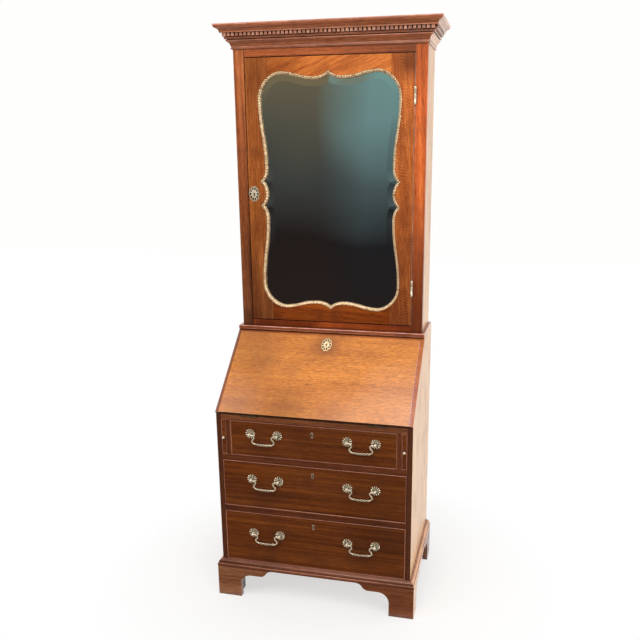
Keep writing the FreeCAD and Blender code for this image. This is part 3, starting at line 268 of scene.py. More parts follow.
def silvering():
    """Old plate: a faint green cast, a little haze and a few grey specks."""
    g = new_graph("mirror")
    place = g.place()
    haze = g.noise(place, 7, 3, 0.6)
    specks = g.noise(place, 260, 2, 0.6)
    fox = g.math("MULTIPLY", g.between(specks, 0.68, 0.78, 0.0, 0.5), g.between(haze, 0.52, 0.72), True)
    return g.finish({
        "Base Color": g.mix(fox, (0.80, 0.84, 0.82), (0.40, 0.39, 0.35)), "Metallic": 1.0,
        "Roughness": g.between(haze, 0.3, 0.8, 0.005, 0.035),
    })


# Faces of the object, and the darker patches on them

HALF_BOOK, BOOK_FRONT = 343 * MM, 51.4 * MM
HALF_CASE, CASE_FRONT = 355 * MM, -222.4 * MM
FALL_SLOPE = radians(42.2)
HINGE_LINE = Vector((0.0, CASE_FRONT, 0.720))
FALL_UP = Vector((0.0, cos(FALL_SLOPE), sin(FALL_SLOPE)))
FALL_OUT = Vector((0.0, -sin(FALL_SLOPE), cos(FALL_SLOPE)))
FALL_THICKNESS = FALL_OUT * 18 * MM


def on_fall(x, up):
    """A place on the fall's face, from its middle line and its hinge line."""
    return HINGE_LINE + Vector((x, 0.0, 0.0)) + FALL_UP * up + FALL_THICKNESS


def on_book(x, z):
    return Vector((x, BOOK_FRONT, z))


def on_case(x, z):
    return Vector((x, CASE_FRONT, z))


FALL_DARK_PATCHES = (
    (on_fall(0.0, 0.300), 0.02, 0.062, 0.75),
    (on_fall(-0.23, 0.21), 0.0, 0.12, 0.6),
    (on_fall(-0.11, 0.19), 0.0, 0.045, 0.4),
    (on_fall(-0.06, 0.26), 0.0, 0.08, 0.3),
    (on_fall(0.16, 0.28), 0.0, 0.05, 0.2),
    (on_fall(-0.28, 0.03), 0.0, 0.12, 0.6),
    (on_fall(-0.30, 0.36), 0.0, 0.20, 0.6),
    (on_fall(0.02, 0.38), 0.0, 0.16, 0.25),
    (on_fall(-0.12, 0.02), 0.02, 0.15, 0.6),
    (on_fall(0.07, 0.01), 0.0, 0.08, 0.35),
)
# Painted sheen on the fall's lower part, strongest at the right
FALL_PAINTED_SHEENS = (
    (on_fall(0.34, 0.02), 0.06, 0.24, 0.24),
    (on_fall(0.10, 0.0), 0.0, 0.14, 0.14),
    (on_fall(-0.32, 0.02), 0.02, 0.16, 0.14),
)
DOOR_DARK_PATCHES = (
    (on_book(0.288, 1.915), 0.02, 0.075, 0.8),
    (on_book(-0.275, 1.35), 0.0, 0.05, 0.4),
    (on_book(-0.262, 1.62), 0.0, 0.035, 0.4),
    (on_book(-0.29, 1.88), 0.06, 0.24, 0.6),
)
FRAME_DARK_PATCHES = (
    (on_book(0.325, 1.10), 0.10, 0.34, 0.55),
    (on_book(0.325, 2.0), 0.08, 0.28, 0.5),
    (on_book(-0.13, 1.0), 0.05, 0.12, 0.75),
    (on_book(-0.25, 1.0), 0.03, 0.08, 0.8),
)
DRAWER_DARK_PATCHES = (
    (on_case(0.25, 0.44), 0.05, 0.20, 0.33),
    (on_case(0.24, 0.24), 0.03, 0.13, 0.3),
)

# Each timber's dark, middle and light colour, its roughness, and what else sets it apart
CASE_HUES = (0.075, 0.018, 0.005), (0.175, 0.050, 0.014), (0.30, 0.098, 0.032)
WOODS = {
    "mahogany": (CASE_HUES, 0.30, {}),
    "moulded_mahogany": (CASE_HUES, 0.28, {"coat": 0.4, "worn_and_painted_light": (0.42, 0.19, 0.11)}),
    # Faded sides, paler still with painted sheen
    "faded_mahogany": (((0.39, 0.172, 0.050), (0.68, 0.357, 0.118), (0.84, 0.485, 0.19)), 0.32,
                       {"coat": 0.35}),
    "front_mahogany": (((0.12, 0.024, 0.006), (0.30, 0.070, 0.017), (0.46, 0.13, 0.036)), 0.28,
                       {"painted_light_by_height": (1.1, 1.8, 0.44, 1.2), "dark_patches": FRAME_DARK_PATCHES, "worn_and_painted_light": (0.3, 0.1, 0.045)}),
    "drawer_mahogany": (((0.060, 0.013, 0.0015), (0.128, 0.029, 0.0025), (0.21, 0.055, 0.005)), 0.26,
                        {"fleck": 0.3, "streak": 0.22, "dark_patches": DRAWER_DARK_PATCHES}),
    "door_mahogany": (((0.14, 0.026, 0.004), (0.36, 0.088, 0.015), (0.60, 0.19, 0.040)), 0.26,
                      {"painted_light_by_height": (1.05, 1.85, 0.54, 1.15), "dark_patches": DOOR_DARK_PATCHES,
                       "worn_and_painted_light": (0.26, 0.085, 0.035)}),
    "fall_mahogany": (((0.34, 0.092, 0.010), (0.63, 0.205, 0.026), (0.83, 0.33, 0.056)), 0.36,
                      {"fleck": 0.75, "dark_patches": FALL_DARK_PATCHES, "painted_sheens": FALL_PAINTED_SHEENS, "worn_and_painted_light": (0.85, 0.55, 0.45),
                       "coat": 0.25, "streak": 0.48, "mottle": 0.3, "fibre_run": 42}),
    "oak_lining": (((0.24, 0.13, 0.055), (0.42, 0.26, 0.12), (0.56, 0.39, 0.21)), 0.55,
                   {"fleck": 0.5, "worn_and_painted_light": (0.6, 0.45, 0.28), "coat": 0.0}),
    "pine_back": (((0.20, 0.105, 0.045), (0.36, 0.21, 0.10), (0.47, 0.31, 0.16)), 0.62,
                  {"fleck": 0.2, "worn_and_painted_light": (0.5, 0.36, 0.2), "coat": 0.0}),
}
# Each brass's bright and dull colour and its roughness
BRASSES = {
    "brass": ((0.98, 0.85, 0.64), (0.06, 0.038, 0.018), 0.25),
    "gold_brass": ((0.88, 0.68, 0.40), (0.06, 0.03, 0.012), 0.36),
    "dull_brass": ((0.60, 0.47, 0.35), (0.06, 0.04, 0.02), 0.4),
    # Hinge leaves: grime, and painted shade where they sit under the fall
    "grimy_and_shaded_brass": ((0.16, 0.10, 0.05), (0.045, 0.026, 0.013), 0.42),
}
materials = {name: wood(name, *hues, polish, **more) for name, (hues, polish, more) in WOODS.items()}
materials.update({name: metal(name, *look) for name, look in BRASSES.items()})
materials.update({"gilt": gilding(), "mirror": silvering()})


# Meshes made from the frame's solids

FLAT_ANGLE = radians(0.3)
SHARP_ANGLE = radians(38)
FACING_FRONT = -0.9
NODE_SHIFT = (0.37, 0.11, 0.07)
BOARD_SHIFT = (1.3, 0.43, 0.29)
GRAIN_ORDERS = {"x": (0, 2, 1), "y": (1, 2, 0), "z": (2, 0, 1)}


def solids(mesh):
    """Face indices of each closed solid in a node's mesh, in order."""
    corner = [tuple(round(c / SAME_CORNER) for c in v.co) for v in mesh.vertices]
    groups = []
    current = []
    unpaired = {}
    for face in mesh.polygons:
        current.append(face.index)
        ring = [corner[i] for i in face.vertices]
        for edge in zip(ring, ring[1:] + ring[:1]):
            back = edge[::-1]
            if edge[0] == edge[1]:
                continue
            if back in unpaired:
                unpaired[back] -= 1
                if not unpaired[back]:
                    del unpaired[back]
            else:
                unpaired[edge] = unpaired.get(edge, 0) + 1
        if not unpaired:
            groups.append(current)
            current = []
    return groups


def solid_mesh(mesh, faces):
    """One solid as a welded mesh, with flat areas joined."""
    bm = bmesh.new()
    made = {}
    for index in faces:
        ring = []
        for i in mesh.polygons[index].vertices:
            co = mesh.vertices[i].co
            key = tuple(round(c / WELD) for c in co)
            if key not in made:
                made[key] = bm.verts.new(co)
            ring.append(made[key])
        if len(set(ring)) == len(ring):
            try:
                bm.faces.new(ring)
            except ValueError:
                continue
    bmesh.ops.dissolve_limit(bm, angle_limit=FLAT_ANGLE, verts=bm.verts, edges=bm.edges)
    bm.normal_update()
    return bm


def node_solids(node):
    """The welded solids of a node, one by one."""
    source = nodes[node].data
    return [solid_mesh(source, group) for group in solids(source)]


def reach_of(mesh, faces):
    """Low and high corners of one solid of a node."""
    co = np.array([mesh.vertices[i].co for f in faces for i in mesh.polygons[f].vertices])
    return Vector(co.min(0)), Vector(co.max(0))


def extent(bm):
    """Middle and size of a solid."""
    low = Vector([min(v.co[i] for v in bm.verts) for i in range(3)])
    high = Vector([max(v.co[i] for v in bm.verts) for i in range(3)])
    return (low + high) / 2, high - low


def bridge(bm, rings, closed=False):
    """Faces from each ring of vertices to the next, and from the last to the first where closed."""
    for here, there in zip(rings, rings[1:] + (rings[:1] if closed else [])):
        for i in range(len(here)):
            ahead = (i + 1) % len(here)
            bm.faces.new((here[i], here[ahead], there[ahead], there[i]))


def weld(bm, gap=WELD):
    """Join corners that meet and turn the faces outward."""
    bmesh.ops.remove_doubles(bm, verts=bm.verts, dist=gap)
    bmesh.ops.recalc_face_normals(bm, faces=bm.faces)


def put(name, data):
    made = bpy.data.objects.new(name, data)
    scene.collection.objects.link(made)
    return made


def piece(node, mesh, material, angle=0):
    """Link a mesh as the piece that stands for a node, smooth over edges under an angle."""
    if angle:
        for face in mesh.polygons:
            face.use_smooth = True
        mesh.set_sharp_from_angle(angle=radians(angle))
    mesh.materials.append(materials[material])
    made = put(node + "_look", mesh)
    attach(made, body_of[node])
    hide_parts(node)
    return made


def piece_from(bm, node, material, angle=0):
    mesh = bpy.data.meshes.new(node + "_look")
    bm.to_mesh(mesh)
    bm.free()
    piece(node, mesh, material, angle)


def grain_place(co, run):
    """Place along, across and into the board, for grain that runs along an axis, a bracket or the fall."""
    if run in GRAIN_ORDERS:
        return Vector([co[i] for i in GRAIN_ORDERS[run]])
    if run == "bracket":
        return Vector((co.x + co.y, co.z, 0.0))
    rest = co - HINGE_LINE
    return Vector((co.x, rest.dot(FALL_UP), rest.dot(FALL_OUT)))


def dress(node, seed, edge, run, parts):
    """A wooden node with eased edges, its own grain in each board, and wear and painted light along the
    edges.
    """
    whole = bpy.data.meshes.new(node + "_look")
    verts, faces, worn_and_painted_light, grain, tones, figures = [], [], [], [], [], []
    for index, bm in enumerate(parts):
        middle, size = extent(bm)
        way = run or "xyz"[list(size).index(max(size))]
        tone, figure, slant = board_looks(node, middle, size)
        sharp = [e for e in bm.edges if len(e.link_faces) == 2 and e.calc_face_angle(0) > SHARP_ANGLE]
        eased = set()
        if sharp:
            made = bmesh.ops.bevel(bm, geom=sharp, offset=edge * MM, segments=2, profile=0.6,
                                   affect="EDGES", clamp_overlap=True)
            eased = set(made["faces"])
        bm.verts.index_update()
        bm.normal_update()
        start = len(verts)
        shift = Vector([n * seed + b * index for n, b in zip(NODE_SHIFT, BOARD_SHIFT)])
        for v in bm.verts:
            verts.append(v.co.copy())
            along, across, into = grain_place(v.co, way)
            grain.append(Vector((along, across + slant * along, into)) + shift)
            figures.append(figure)
        for face in bm.faces:
            faces.append([start + v.index for v in face.verts])
            # Eased faces carry wear and painted light.
            worn_and_painted_light.append(1.0 if face in eased else 0.0)
            tones.append((*face_tone(node, face, tone, face in eased), 1.0))
        bm.free()
    whole.from_pydata(verts, [], faces)
    whole.attributes.new("grain", "FLOAT_VECTOR", "POINT").data.foreach_set("vector", np.ravel(grain))
    whole.attributes.new("figure", "FLOAT", "POINT").data.foreach_set("value", figures)
    whole.attributes.new("edge_wear_and_light", "FLOAT", "FACE").data.foreach_set("value", worn_and_painted_light)
    whole.attributes.new("tone", "FLOAT_COLOR", "FACE").data.foreach_set("color", np.ravel(tones))
    made = piece(node, whole, LOOKS.get(node, slot_of[node]), angle=48)
    made.modifiers.new("weighted", "WEIGHTED_NORMAL").keep_sharp = True


# Names of like nodes, and what each is dressed with

DRAWERS = ("top", "middle", "bottom")
HANDS = ("left", "right")
BOOK_SIDES, CASE_SIDES, LOPERS = [[f"{pair}_{hand}" for hand in HANDS]
                                  for pair in ("bookcase_side", "bureau_side", "loper")]
SIDES = CASE_SIDES + BOOK_SIDES
FRONTS, LOCKS, ROSES = [[f"{drawer}_drawer_{part}" for drawer in DRAWERS]
                        for part in ("front", "lock", "handle_plates")]
BAILS = [f"{drawer}_drawer_bail_{hand}" for drawer in DRAWERS for hand in HANDS]
PLATES = ["fall_escutcheon", "door_escutcheon"]
FEET = ["front_bracket_feet", "rear_bracket_feet"]
RETURNED = ["cornice", "base_moulding", "bureau_top_board"]
RUNS = {"fall_panel": "fall", "loper_partitions": "z", **dict.fromkeys(FEET, "bracket"),
        **dict.fromkeys(CASE_SIDES, "z")}
PLAIN_EDGE = 1.0
EDGES = {"fall_panel": 1.8, "door_frame": 2.2, "bookcase_face_frame": 1.8, "cornice": 0.4,
         "base_moulding": 0.6, "bureau_top_board": 1.4, "writing_bed": 0.7, **dict.fromkeys(FRONTS, 0.5),
         **dict.fromkeys(LOPERS, 0.4), **dict.fromkeys(BOOK_SIDES, 0.6)}
LOOKS = {"bookcase_face_frame": "front_mahogany", "cornice": "moulded_mahogany",
         "base_moulding": "moulded_mahogany", "fall_hinge_leaves": "grimy_and_shaded_brass",
         "bed_hinge_leaves": "grimy_and_shaded_brass", "fall_lock": "gold_brass", "door_lock": "gold_brass",
         "fall_escutcheon": "gold_brass", "door_escutcheon": "brass",
         **dict.fromkeys(SIDES, "faded_mahogany"), **dict.fromkeys(LOCKS, "dull_brass")}


# Tones of single boards and faces

PLAIN = (1.0, 1.0, 1.0)
TONES = {"cornice": (1.7, 1.8, 2.5), "drawer_dividers": (0.57, 0.45, 0.36),
         "loper_partitions": (0.85, 0.72, 0.55), "base_moulding": (0.78, 0.75, 0.9),
         "bureau_top_board": (1.65, 1.55, 1.75)}
# Tone, figure and slant of the grain of each stile and rail. The face frame's right stile is lighter: its own
# tone with painted light from the right.
FRAMED = {
    "door_frame": {
        "left": ((1.0, 1.1, 1.15), 0.15, 0.0), "right": ((1.12, 1.08, 1.05), 0.75, 0.06),
        "top": ((1.18, 1.2, 1.1), 0.3, -0.4), "low": ((0.93, 0.66, 0.14), 0.25, 0.05),
    },
    "bookcase_face_frame": {
        "left": ((1.0, 1.15, 1.3), 0.0, 0.02), "right": ((2.05, 1.8, 1.4), 0.3, 0.03),
        "top": ((1.0, 1.05, 1.2), 0.0, 0.0), "low": ((2.6, 1.85, 0.77), 0.0, 0.0),
    },
}
STILE_PLACE = 200 * MM
BEAD_WIDTH = 6 * MM
# Painted highlight on the cockbeads
BEAD_HIGHLIGHT = (2.5, 3.8, 24.0)
BLOCK_REACH = 140 * MM
# Painted shade on the glue blocks inside the front feet
BLOCK_SHADE = (0.10, 0.10, 0.12)
LEFT_FOOT_TONE = (1.3, 1.65, 2.3)
RIGHT_FOOT_TONE = (0.93, 0.88, 0.95)
# Faded wood with painted sheen on the outer sides of the front feet
FOOT_RETURN_FADE_AND_SHEEN = (3.8, 7.5, 14.0)
TOP_RAIL_LEVEL = 680 * MM
# Painted shadow of the fall on the top rail
TOP_RAIL_SHADOW = (0.33, 0.26, 0.22)
DENTIL_REACH = 16 * MM
# Painted highlight on the dentils
DENTIL_HIGHLIGHT = (2.6, 3.7, 7.0)
# Painted shade on the edges of the case and bookcase sides
SIDE_EDGE_SHADE = (0.13, 0.062, 0.044)
# Faded wood with painted sheen on the outer returns of the mouldings
RETURN_FADE_AND_SHEEN = (3.5, 6.0, 10.0)
# Painted highlight on bands of the mouldings
MOULDING_HIGHLIGHT = (2.0, 2.6, 3.8)
# Heights in mm above the bottom of each moulding, between which a highlight is painted
MOULDING_HIGHLIGHT_LEVELS = {"cornice": ((7, 10.5), (27, 30.6), (52.2, 55), (75.5, 78.8)),
                 "base_moulding": ((9.5, 12.5), (22, 26.9)), "bureau_top_board": ((14.5, 18), (0.2, 2.5))}
MOULDING_FLOORS = {name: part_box(name)[0].z for name in RETURNED}
FALL_HALF, FALL_LENGTH = 355 * MM, 359.5 * MM
FALL_RIM = 13.5 * MM
FALL_FAR_SIDE = -330 * MM
# Painted shade on the fall's edges and foot, and on its far rim; a painted highlight on its near quirk
FALL_EDGE_SHADE = (0.28, 0.19, 0.16)
FALL_FOOT_SHADE = (0.07, 0.06, 0.08)
FALL_RIM_TONE = (0.72, 0.58, 0.75)
FALL_FAR_RIM_SHADE = (0.42, 0.33, 0.36)
FALL_QUIRK_HIGHLIGHT = (2.1, 4.0, 13.0)
DOOR_LOW, DOOR_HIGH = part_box("door_frame")
DOOR_HALF = DOOR_HIGH.x - 6 * MM
DOOR_MIDDLE = (DOOR_LOW.z + DOOR_HIGH.z) / 2
FRAME_JOINT = 2 * MM
# Painted shade in the gap round the door, and a painted highlight on its near edge
DOOR_GAP_SHADE = (0.12, 0.09, 0.08)
DOOR_NEAR_HIGHLIGHT = (3.0, 10.0, 38.0)
SQUARE_ON, HALF_TURNED, SLIGHTLY_TURNED = 0.7, 0.5, 0.3


def board_looks(node, middle, size):
    """Tone, figure and slant of the grain for one board of a node, told apart by its place."""
    if node in FRAMED:
        if abs(middle.x) > STILE_PLACE:
            return FRAMED[node]["left" if middle.x < 0 else "right"]
        return FRAMED[node]["top" if middle.z > DOOR_MIDDLE else "low"]
    tone = TONES.get(node, PLAIN)
    # Painted highlights on cockbeads and dentils, painted shade on the glue blocks, and a painted shadow on
    # the top rail.
    if node in BEADED and min(size) < BEAD_WIDTH:
        tone = BEAD_HIGHLIGHT
    elif node in FEET and max(size) < BLOCK_REACH:
        tone = BLOCK_SHADE
    elif node == "front_bracket_feet":
        tone = LEFT_FOOT_TONE if middle.x < 0 else RIGHT_FOOT_TONE
    elif node == "drawer_dividers" and middle.z > TOP_RAIL_LEVEL:
        tone = TOP_RAIL_SHADOW
    elif node == "cornice" and max(size) < DENTIL_REACH:
        tone = DENTIL_HIGHLIGHT
    return tone, 0.0, 0.0


def fall_tone(normal, middle, tone, eased):
    """Tone of one face of the fall: painted shade at the foot and edges, a rim round its field with painted
    shade on the far side, and a quirk with a painted highlight on the near side.
    """
    if normal.dot(FALL_UP) < -HALF_TURNED:
        return FALL_FOOT_SHADE
    if normal.dot(FALL_OUT) < SLIGHTLY_TURNED:
        return FALL_EDGE_SHADE
    past = max(abs(middle.x) - FALL_HALF, (middle - HINGE_LINE).dot(FALL_UP) - FALL_LENGTH)
    if past < -FALL_RIM:
        return FALL_QUIRK_HIGHLIGHT if eased and middle.x > 0 else tone
    return FALL_RIM_TONE if middle.x > FALL_FAR_SIDE else FALL_FAR_RIM_SHADE


def face_tone(node, face, tone, eased):
    """Tone of one face: faded with painted sheen on the outer sides, painted shade on the sides' edges,
    painted highlights on mouldings, and painted shade round the door with a painted highlight on its near
    edge.
    """
    normal, middle = face.normal, face.calc_center_median()
    outward = abs(normal.x) if normal.x * middle.x > 0 else 0.0
    front_edge = eased and normal.y < 0
    if node in SIDES:
        return tone if outward > SQUARE_ON else SIDE_EDGE_SHADE
    if node == "front_bracket_feet" and outward > SQUARE_ON and abs(middle.x) > HALF_CASE:
        return FOOT_RETURN_FADE_AND_SHEEN
    if node in RETURNED:
        if outward > SLIGHTLY_TURNED:
            return RETURN_FADE_AND_SHEEN
        # Painted highlights on bands of the mouldings.
        level = middle.z - MOULDING_FLOORS[node]
        if any(low * MM < level < high * MM for low, high in MOULDING_HIGHLIGHT_LEVELS[node]):
            return [t * r for t, r in zip(tone, MOULDING_HIGHLIGHT)]
    # Painted shade in the door's gap, and a painted highlight on its near edge.
    if node == "bookcase_face_frame" and front_edge:
        rail = abs(middle.x) < DOOR_HALF - FRAME_JOINT
        inward = -normal.z * (middle.z - DOOR_MIDDLE) if rail else -normal.x * middle.x
        return DOOR_GAP_SHADE if inward > 0 and middle.x < DOOR_HALF else tone
    if node == "door_frame" and front_edge:
        return DOOR_NEAR_HIGHLIGHT if middle.x > DOOR_HALF else DOOR_GAP_SHADE
    if node == "fall_panel":
        return fall_tone(normal, middle, tone, eased)
    return tone


# Plain castings and drawer keyholes

LINER_STEPS = 40
LINER_NECK = -0.6
LINER_SLOT = 0.62


def keyhole_liner(bm, low, high):
    """Rim of a keyhole in a drawer front: a round eye over a slot, with a broad lip."""
    half = (high.x - low.x) / 2
    middle = (low.x + high.x) / 2
    eye = high.z - half
    centre = (eye + low.z) / 2
    outline = []
    for i in range(LINER_STEPS):
        turn = FULL_TURN * i / LINER_STEPS
        if sin(turn) > LINER_NECK:
            outline.append((half * cos(turn), eye + half * sin(turn)))
        else:
            outline.append((LINER_SLOT * half * copysign(1, cos(turn)), low.z))
    rings = []
    for lip, y in ((1.0, high.y), (1.0, low.y + 0.3 * MM), (0.92, low.y), (0.62, low.y),
                   (0.52, low.y + 0.5 * MM), (0.52, high.y)):
        tall = 1 - (1 - lip) * half / (eye - centre)
        rings.append([bm.verts.new((middle + x * lip, y, centre + (z - centre) * tall)) for x, z in outline])
    bridge(bm, rings, closed=True)


def cast(node):
    """A brass node, smooth where it is round. A drawer lock gets a keyhole with a broader lip."""
    source = nodes[node].data
    if node in LOCKS:
        body, liner = solids(source)
        bm = solid_mesh(source, body)
        keyhole_liner(bm, *reach_of(source, liner))
        bmesh.ops.recalc_face_normals(bm, faces=bm.faces)
    else:
        bm = bmesh.new()
        bm.from_mesh(source)
    bmesh.ops.remove_doubles(bm, verts=bm.verts, dist=WELD)
    piece_from(bm, node, LOOKS.get(node, "brass"), angle=40)


# Mouldings and blocks

BOW_STEPS = 8
DENTIL_PITCH = 15 * MM
DENTIL_WIDTH = 9.5 * MM
DENTIL_LOW, DENTIL_HIGH = 41.2 * MM, 52 * MM
DENTIL_BACK, DENTIL_OUT = 24 * MM, 31 * MM
DENTIL_SUNK = 1 * MM
BLOCK_NEAR, BLOCK_FAR = 290 * MM, 351 * MM
BLOCK_FRONT, BLOCK_BACK = -218.2 * MM, -172 * MM
BLOCK_LOW, BLOCK_HIGH = 1.5 * MM, 117.8 * MM


def bow(start, end, bulge):
    """Places on an arc between two corners of a section, pushed to its right by a share of its length."""
    start, end = Vector(start), Vector(end)
    chord = end - start
    side = Vector((chord.y, -chord.x)) * bulge
    shares = [i / BOW_STEPS for i in range(BOW_STEPS + 1)]
    return [tuple(start + chord * t + side * 4 * t * (1 - t)) for t in shares]


def cornice_section():
    """Cornice section, out and up in mm: band, bead, cove, bead, the dentils' bed, lip and cyma."""
    return [
        (0, 0), (3, 0), (3, 1.2), *bow((4.6, 1.2), (4.6, 6.4), 0.2), (3.6, 6.4),
        *bow((3.6, 7.2), (3.6, 10.4), 0.5), (3.6, 11), *bow((5.5, 11), (15.5, 25), -0.14), (15.5, 26.2),
        *bow((16.2, 26.2), (16.2, 31.2), 0.5), (14.8, 31.2), (14.8, 32.8), (22.5, 32.8), (22.5, 38.8),
        (20, 38.8), (20, 40.6), (24, 40.6), (24, 52), (35, 52), (35, 55), *bow((35, 55), (43.5, 65), -0.17),
        *bow((43.5, 65), (51.2, 75), 0.17), (52, 75.6), (52, 78.95), (0, 78.95),
    ]


def base_section():
    """Base moulding section, out and up in mm: a rounded band, a quirk and an ovolo under a fillet."""
    return [
        (-8, 0), (15.4, 0), *bow((15.4, 0.6), (15.4, 12.2), 0.13), (11, 12.6), (11, 14.4),
        *bow((13.4, 14.4), (4.2, 24), 0.2), (2.6, 24), (2.6, 26.9), (-8, 26.9),
    ]


def closed_run(start, end):
    """Solid between two like rings of places."""
    bm = bmesh.new()
    rings = [[bm.verts.new(p) for p in ring] for ring in (start, end)]
    bridge(bm, rings)
    for ring in rings:
        bm.faces.new(ring)
    weld(bm, LOOSE_WELD)
    return bm


def block(low, high):
    bm = bmesh.new()
    low, high = Vector(low), Vector(high)
    bmesh.ops.create_cube(bm, size=1.0)
    for v in bm.verts:
        v.co = [low[i] + (high[i] - low[i]) * (v.co[i] + 0.5) for i in range(3)]
    return bm


def mitred_runs(section, half, front, floor_level, back):
    """A moulding round the front and sides of a case, as three mitred solids."""
    places = [(out * MM, floor_level + up * MM) for out, up in section]
    corners = [[(side * (half + out), front - out, z) for out, z in places] for side in (-1, 1)]
    ends = [[(side * (half + out), back, z) for out, z in places] for side in (-1, 1)]
    return [closed_run(*corners), closed_run(ends[0], corners[0]), closed_run(corners[1], ends[1])]


def base_solids():
    low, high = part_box("base_moulding")
    return mitred_runs(base_section(), HALF_CASE, CASE_FRONT, low.z, high.y)


def cornice_solids():
    """The cornice's three mitred runs and its separate dentils."""
    box_low, box_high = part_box("cornice")
    parts = mitred_runs(cornice_section(), HALF_BOOK, BOOK_FRONT, box_low.z, box_high.y)
    low, high = box_low.z + DENTIL_LOW, box_low.z + DENTIL_HIGH
    reach, front = HALF_BOOK + DENTIL_OUT, BOOK_FRONT - DENTIL_OUT
    behind = BOOK_FRONT - DENTIL_BACK + DENTIL_SUNK
    inner = HALF_BOOK + DENTIL_BACK - DENTIL_SUNK
    across = int(reach / DENTIL_PITCH)
    for i in range(-across, across + 1):
        x = i * DENTIL_PITCH
        ends = max(x - DENTIL_WIDTH / 2, -reach), min(x + DENTIL_WIDTH / 2, reach)
        parts.append(block((ends[0], front, low), (ends[1], behind, high)))
    for i in range(1, int((box_high.y - front) / DENTIL_PITCH)):
        y = front + i * DENTIL_PITCH
        parts.append(block((-reach, y, low), (-inner, y + DENTIL_WIDTH, high)))
        parts.append(block((inner, y, low), (reach, y + DENTIL_WIDTH, high)))
    return parts


def foot_solids():
    """The front feet and the blocks glued inside them, painted dark as shade."""
    return node_solids("front_bracket_feet") + [
        block((-BLOCK_FAR, BLOCK_FRONT, BLOCK_LOW), (-BLOCK_NEAR, BLOCK_BACK, BLOCK_HIGH)),
        block((BLOCK_NEAR, BLOCK_FRONT, BLOCK_LOW), (BLOCK_FAR, BLOCK_BACK, BLOCK_HIGH)),
    ]


BEADED = FRONTS + LOPERS
OWN_SOLIDS = {"cornice": cornice_solids, "base_moulding": base_solids, "front_bracket_feet": foot_solids}
for number, node in enumerate(sorted(nodes)):
    if slot_of[node] in WOODS:
        boards = OWN_SOLIDS[node]() if node in OWN_SOLIDS else node_solids(node)
        dress(node, number, EDGES.get(node, PLAIN_EDGE), RUNS.get(node), boards)
    elif slot_of[node] == "brass" and node not in ROSES + BAILS + PLATES:
        cast(node)


# Outlines of the shaped door furniture

def front_loops(node):
    """Closed loops round a node's front face, in XZ, the longest first, with the front's place on Y.

    Each loop starts at its lowest place, so that every run gives the same points.
    """
    bm = node_solids(node)[0]
    front = {f for f in bm.faces if f.normal.y < FACING_FRONT}
    level = min(v.co.y for v in bm.verts)
    follow = {}
    for edge in bm.edges:
        if sorted(f in front for f in edge.link_faces) == [False, True]:
            a, b = edge.verts
            follow.setdefault(a, []).append(b)
            follow.setdefault(b, []).append(a)
    loops = []
    left = set(follow)
    while left:
        start = min(left, key=lambda v: (v.co.z, v.co.x))
        left.remove(start)
        loop = [start]
        step = follow[start][0]
        while step is not start:
            loop.append(step)
            left.discard(step)
            step = [v for v in follow[step] if v is not loop[-2]][0]
        loops.append(turned_left(np.array([(v.co.x, v.co.z) for v in loop])))
    bm.free()
    return sorted(loops, key=length, reverse=True), level


def length(loop):
    return float(np.linalg.norm(np.roll(loop, -1, 0) - loop, axis=1).sum())


def turned_left(loop):
    ahead = np.roll(loop, -1, 0)
    area = (loop[:, 0] * ahead[:, 1] - ahead[:, 0] * loop[:, 1]).sum()
    return loop if area > 0 else loop[::-1]


def run_along(line):
    """Distance of each place on an open line from its start."""
    return np.concatenate([[0], np.cumsum(np.linalg.norm(np.diff(line, axis=0), axis=1))])


def at_runs(places, run, line):
    """Places on a line at the given distances from its start."""
    return np.stack([np.interp(places, run, line[:, i]) for i in (0, 1)], 1)


def evenly(loop, step):
    """Points along a closed loop, a steady step apart."""
    closed = np.vstack([loop, loop[:1]])
    run = run_along(closed)
    count = int(run[-1] / step)
    return at_runs(np.arange(count) * run[-1] / count, run, closed)


def nearest(points, loop):
    """For each point, the nearest place on a closed loop."""
    ahead = np.roll(loop, -1, 0) - loop
    size = (ahead ** 2).sum(1)
    found = []
    for p in points:
        share = np.clip(((p - loop) * ahead).sum(1) / np.maximum(size, 1e-12), 0, 1)
        places = loop + ahead * share[:, None]
        found.append(places[((places - p) ** 2).sum(1).argmin()])
    return np.array(found)


# Gilt slip and mirror

# Shares of the slip's width, from its outer edge, and of its depth, from its front
SLIP_SECTION = ((0.0, 0.97), (0.0, 0.26), (0.08, 0.12), (0.22, 0.05), (0.38, 0.03), (0.54, 0.08),
                (0.68, 0.18), (0.82, 0.34), (0.94, 0.52), (1.0, 0.62), (1.0, 0.97))
SLIP_STEP, SLIP_INNER_STEP = 1.5 * MM, 1.0 * MM
LEAF_PITCH = 9.0 * MM
LEAF_DEPTH = 0.32
LEAF_SLANT = 0.55
LEAF_SHARPNESS = 1.6
VEIN_SHARE = 0.25
MIRROR_STEP = 3 * MM
BEVEL_WIDE, BEVEL_DROP = 36 * MM, 2.2 * MM
BEVEL_SLACK = 0.4 * MM


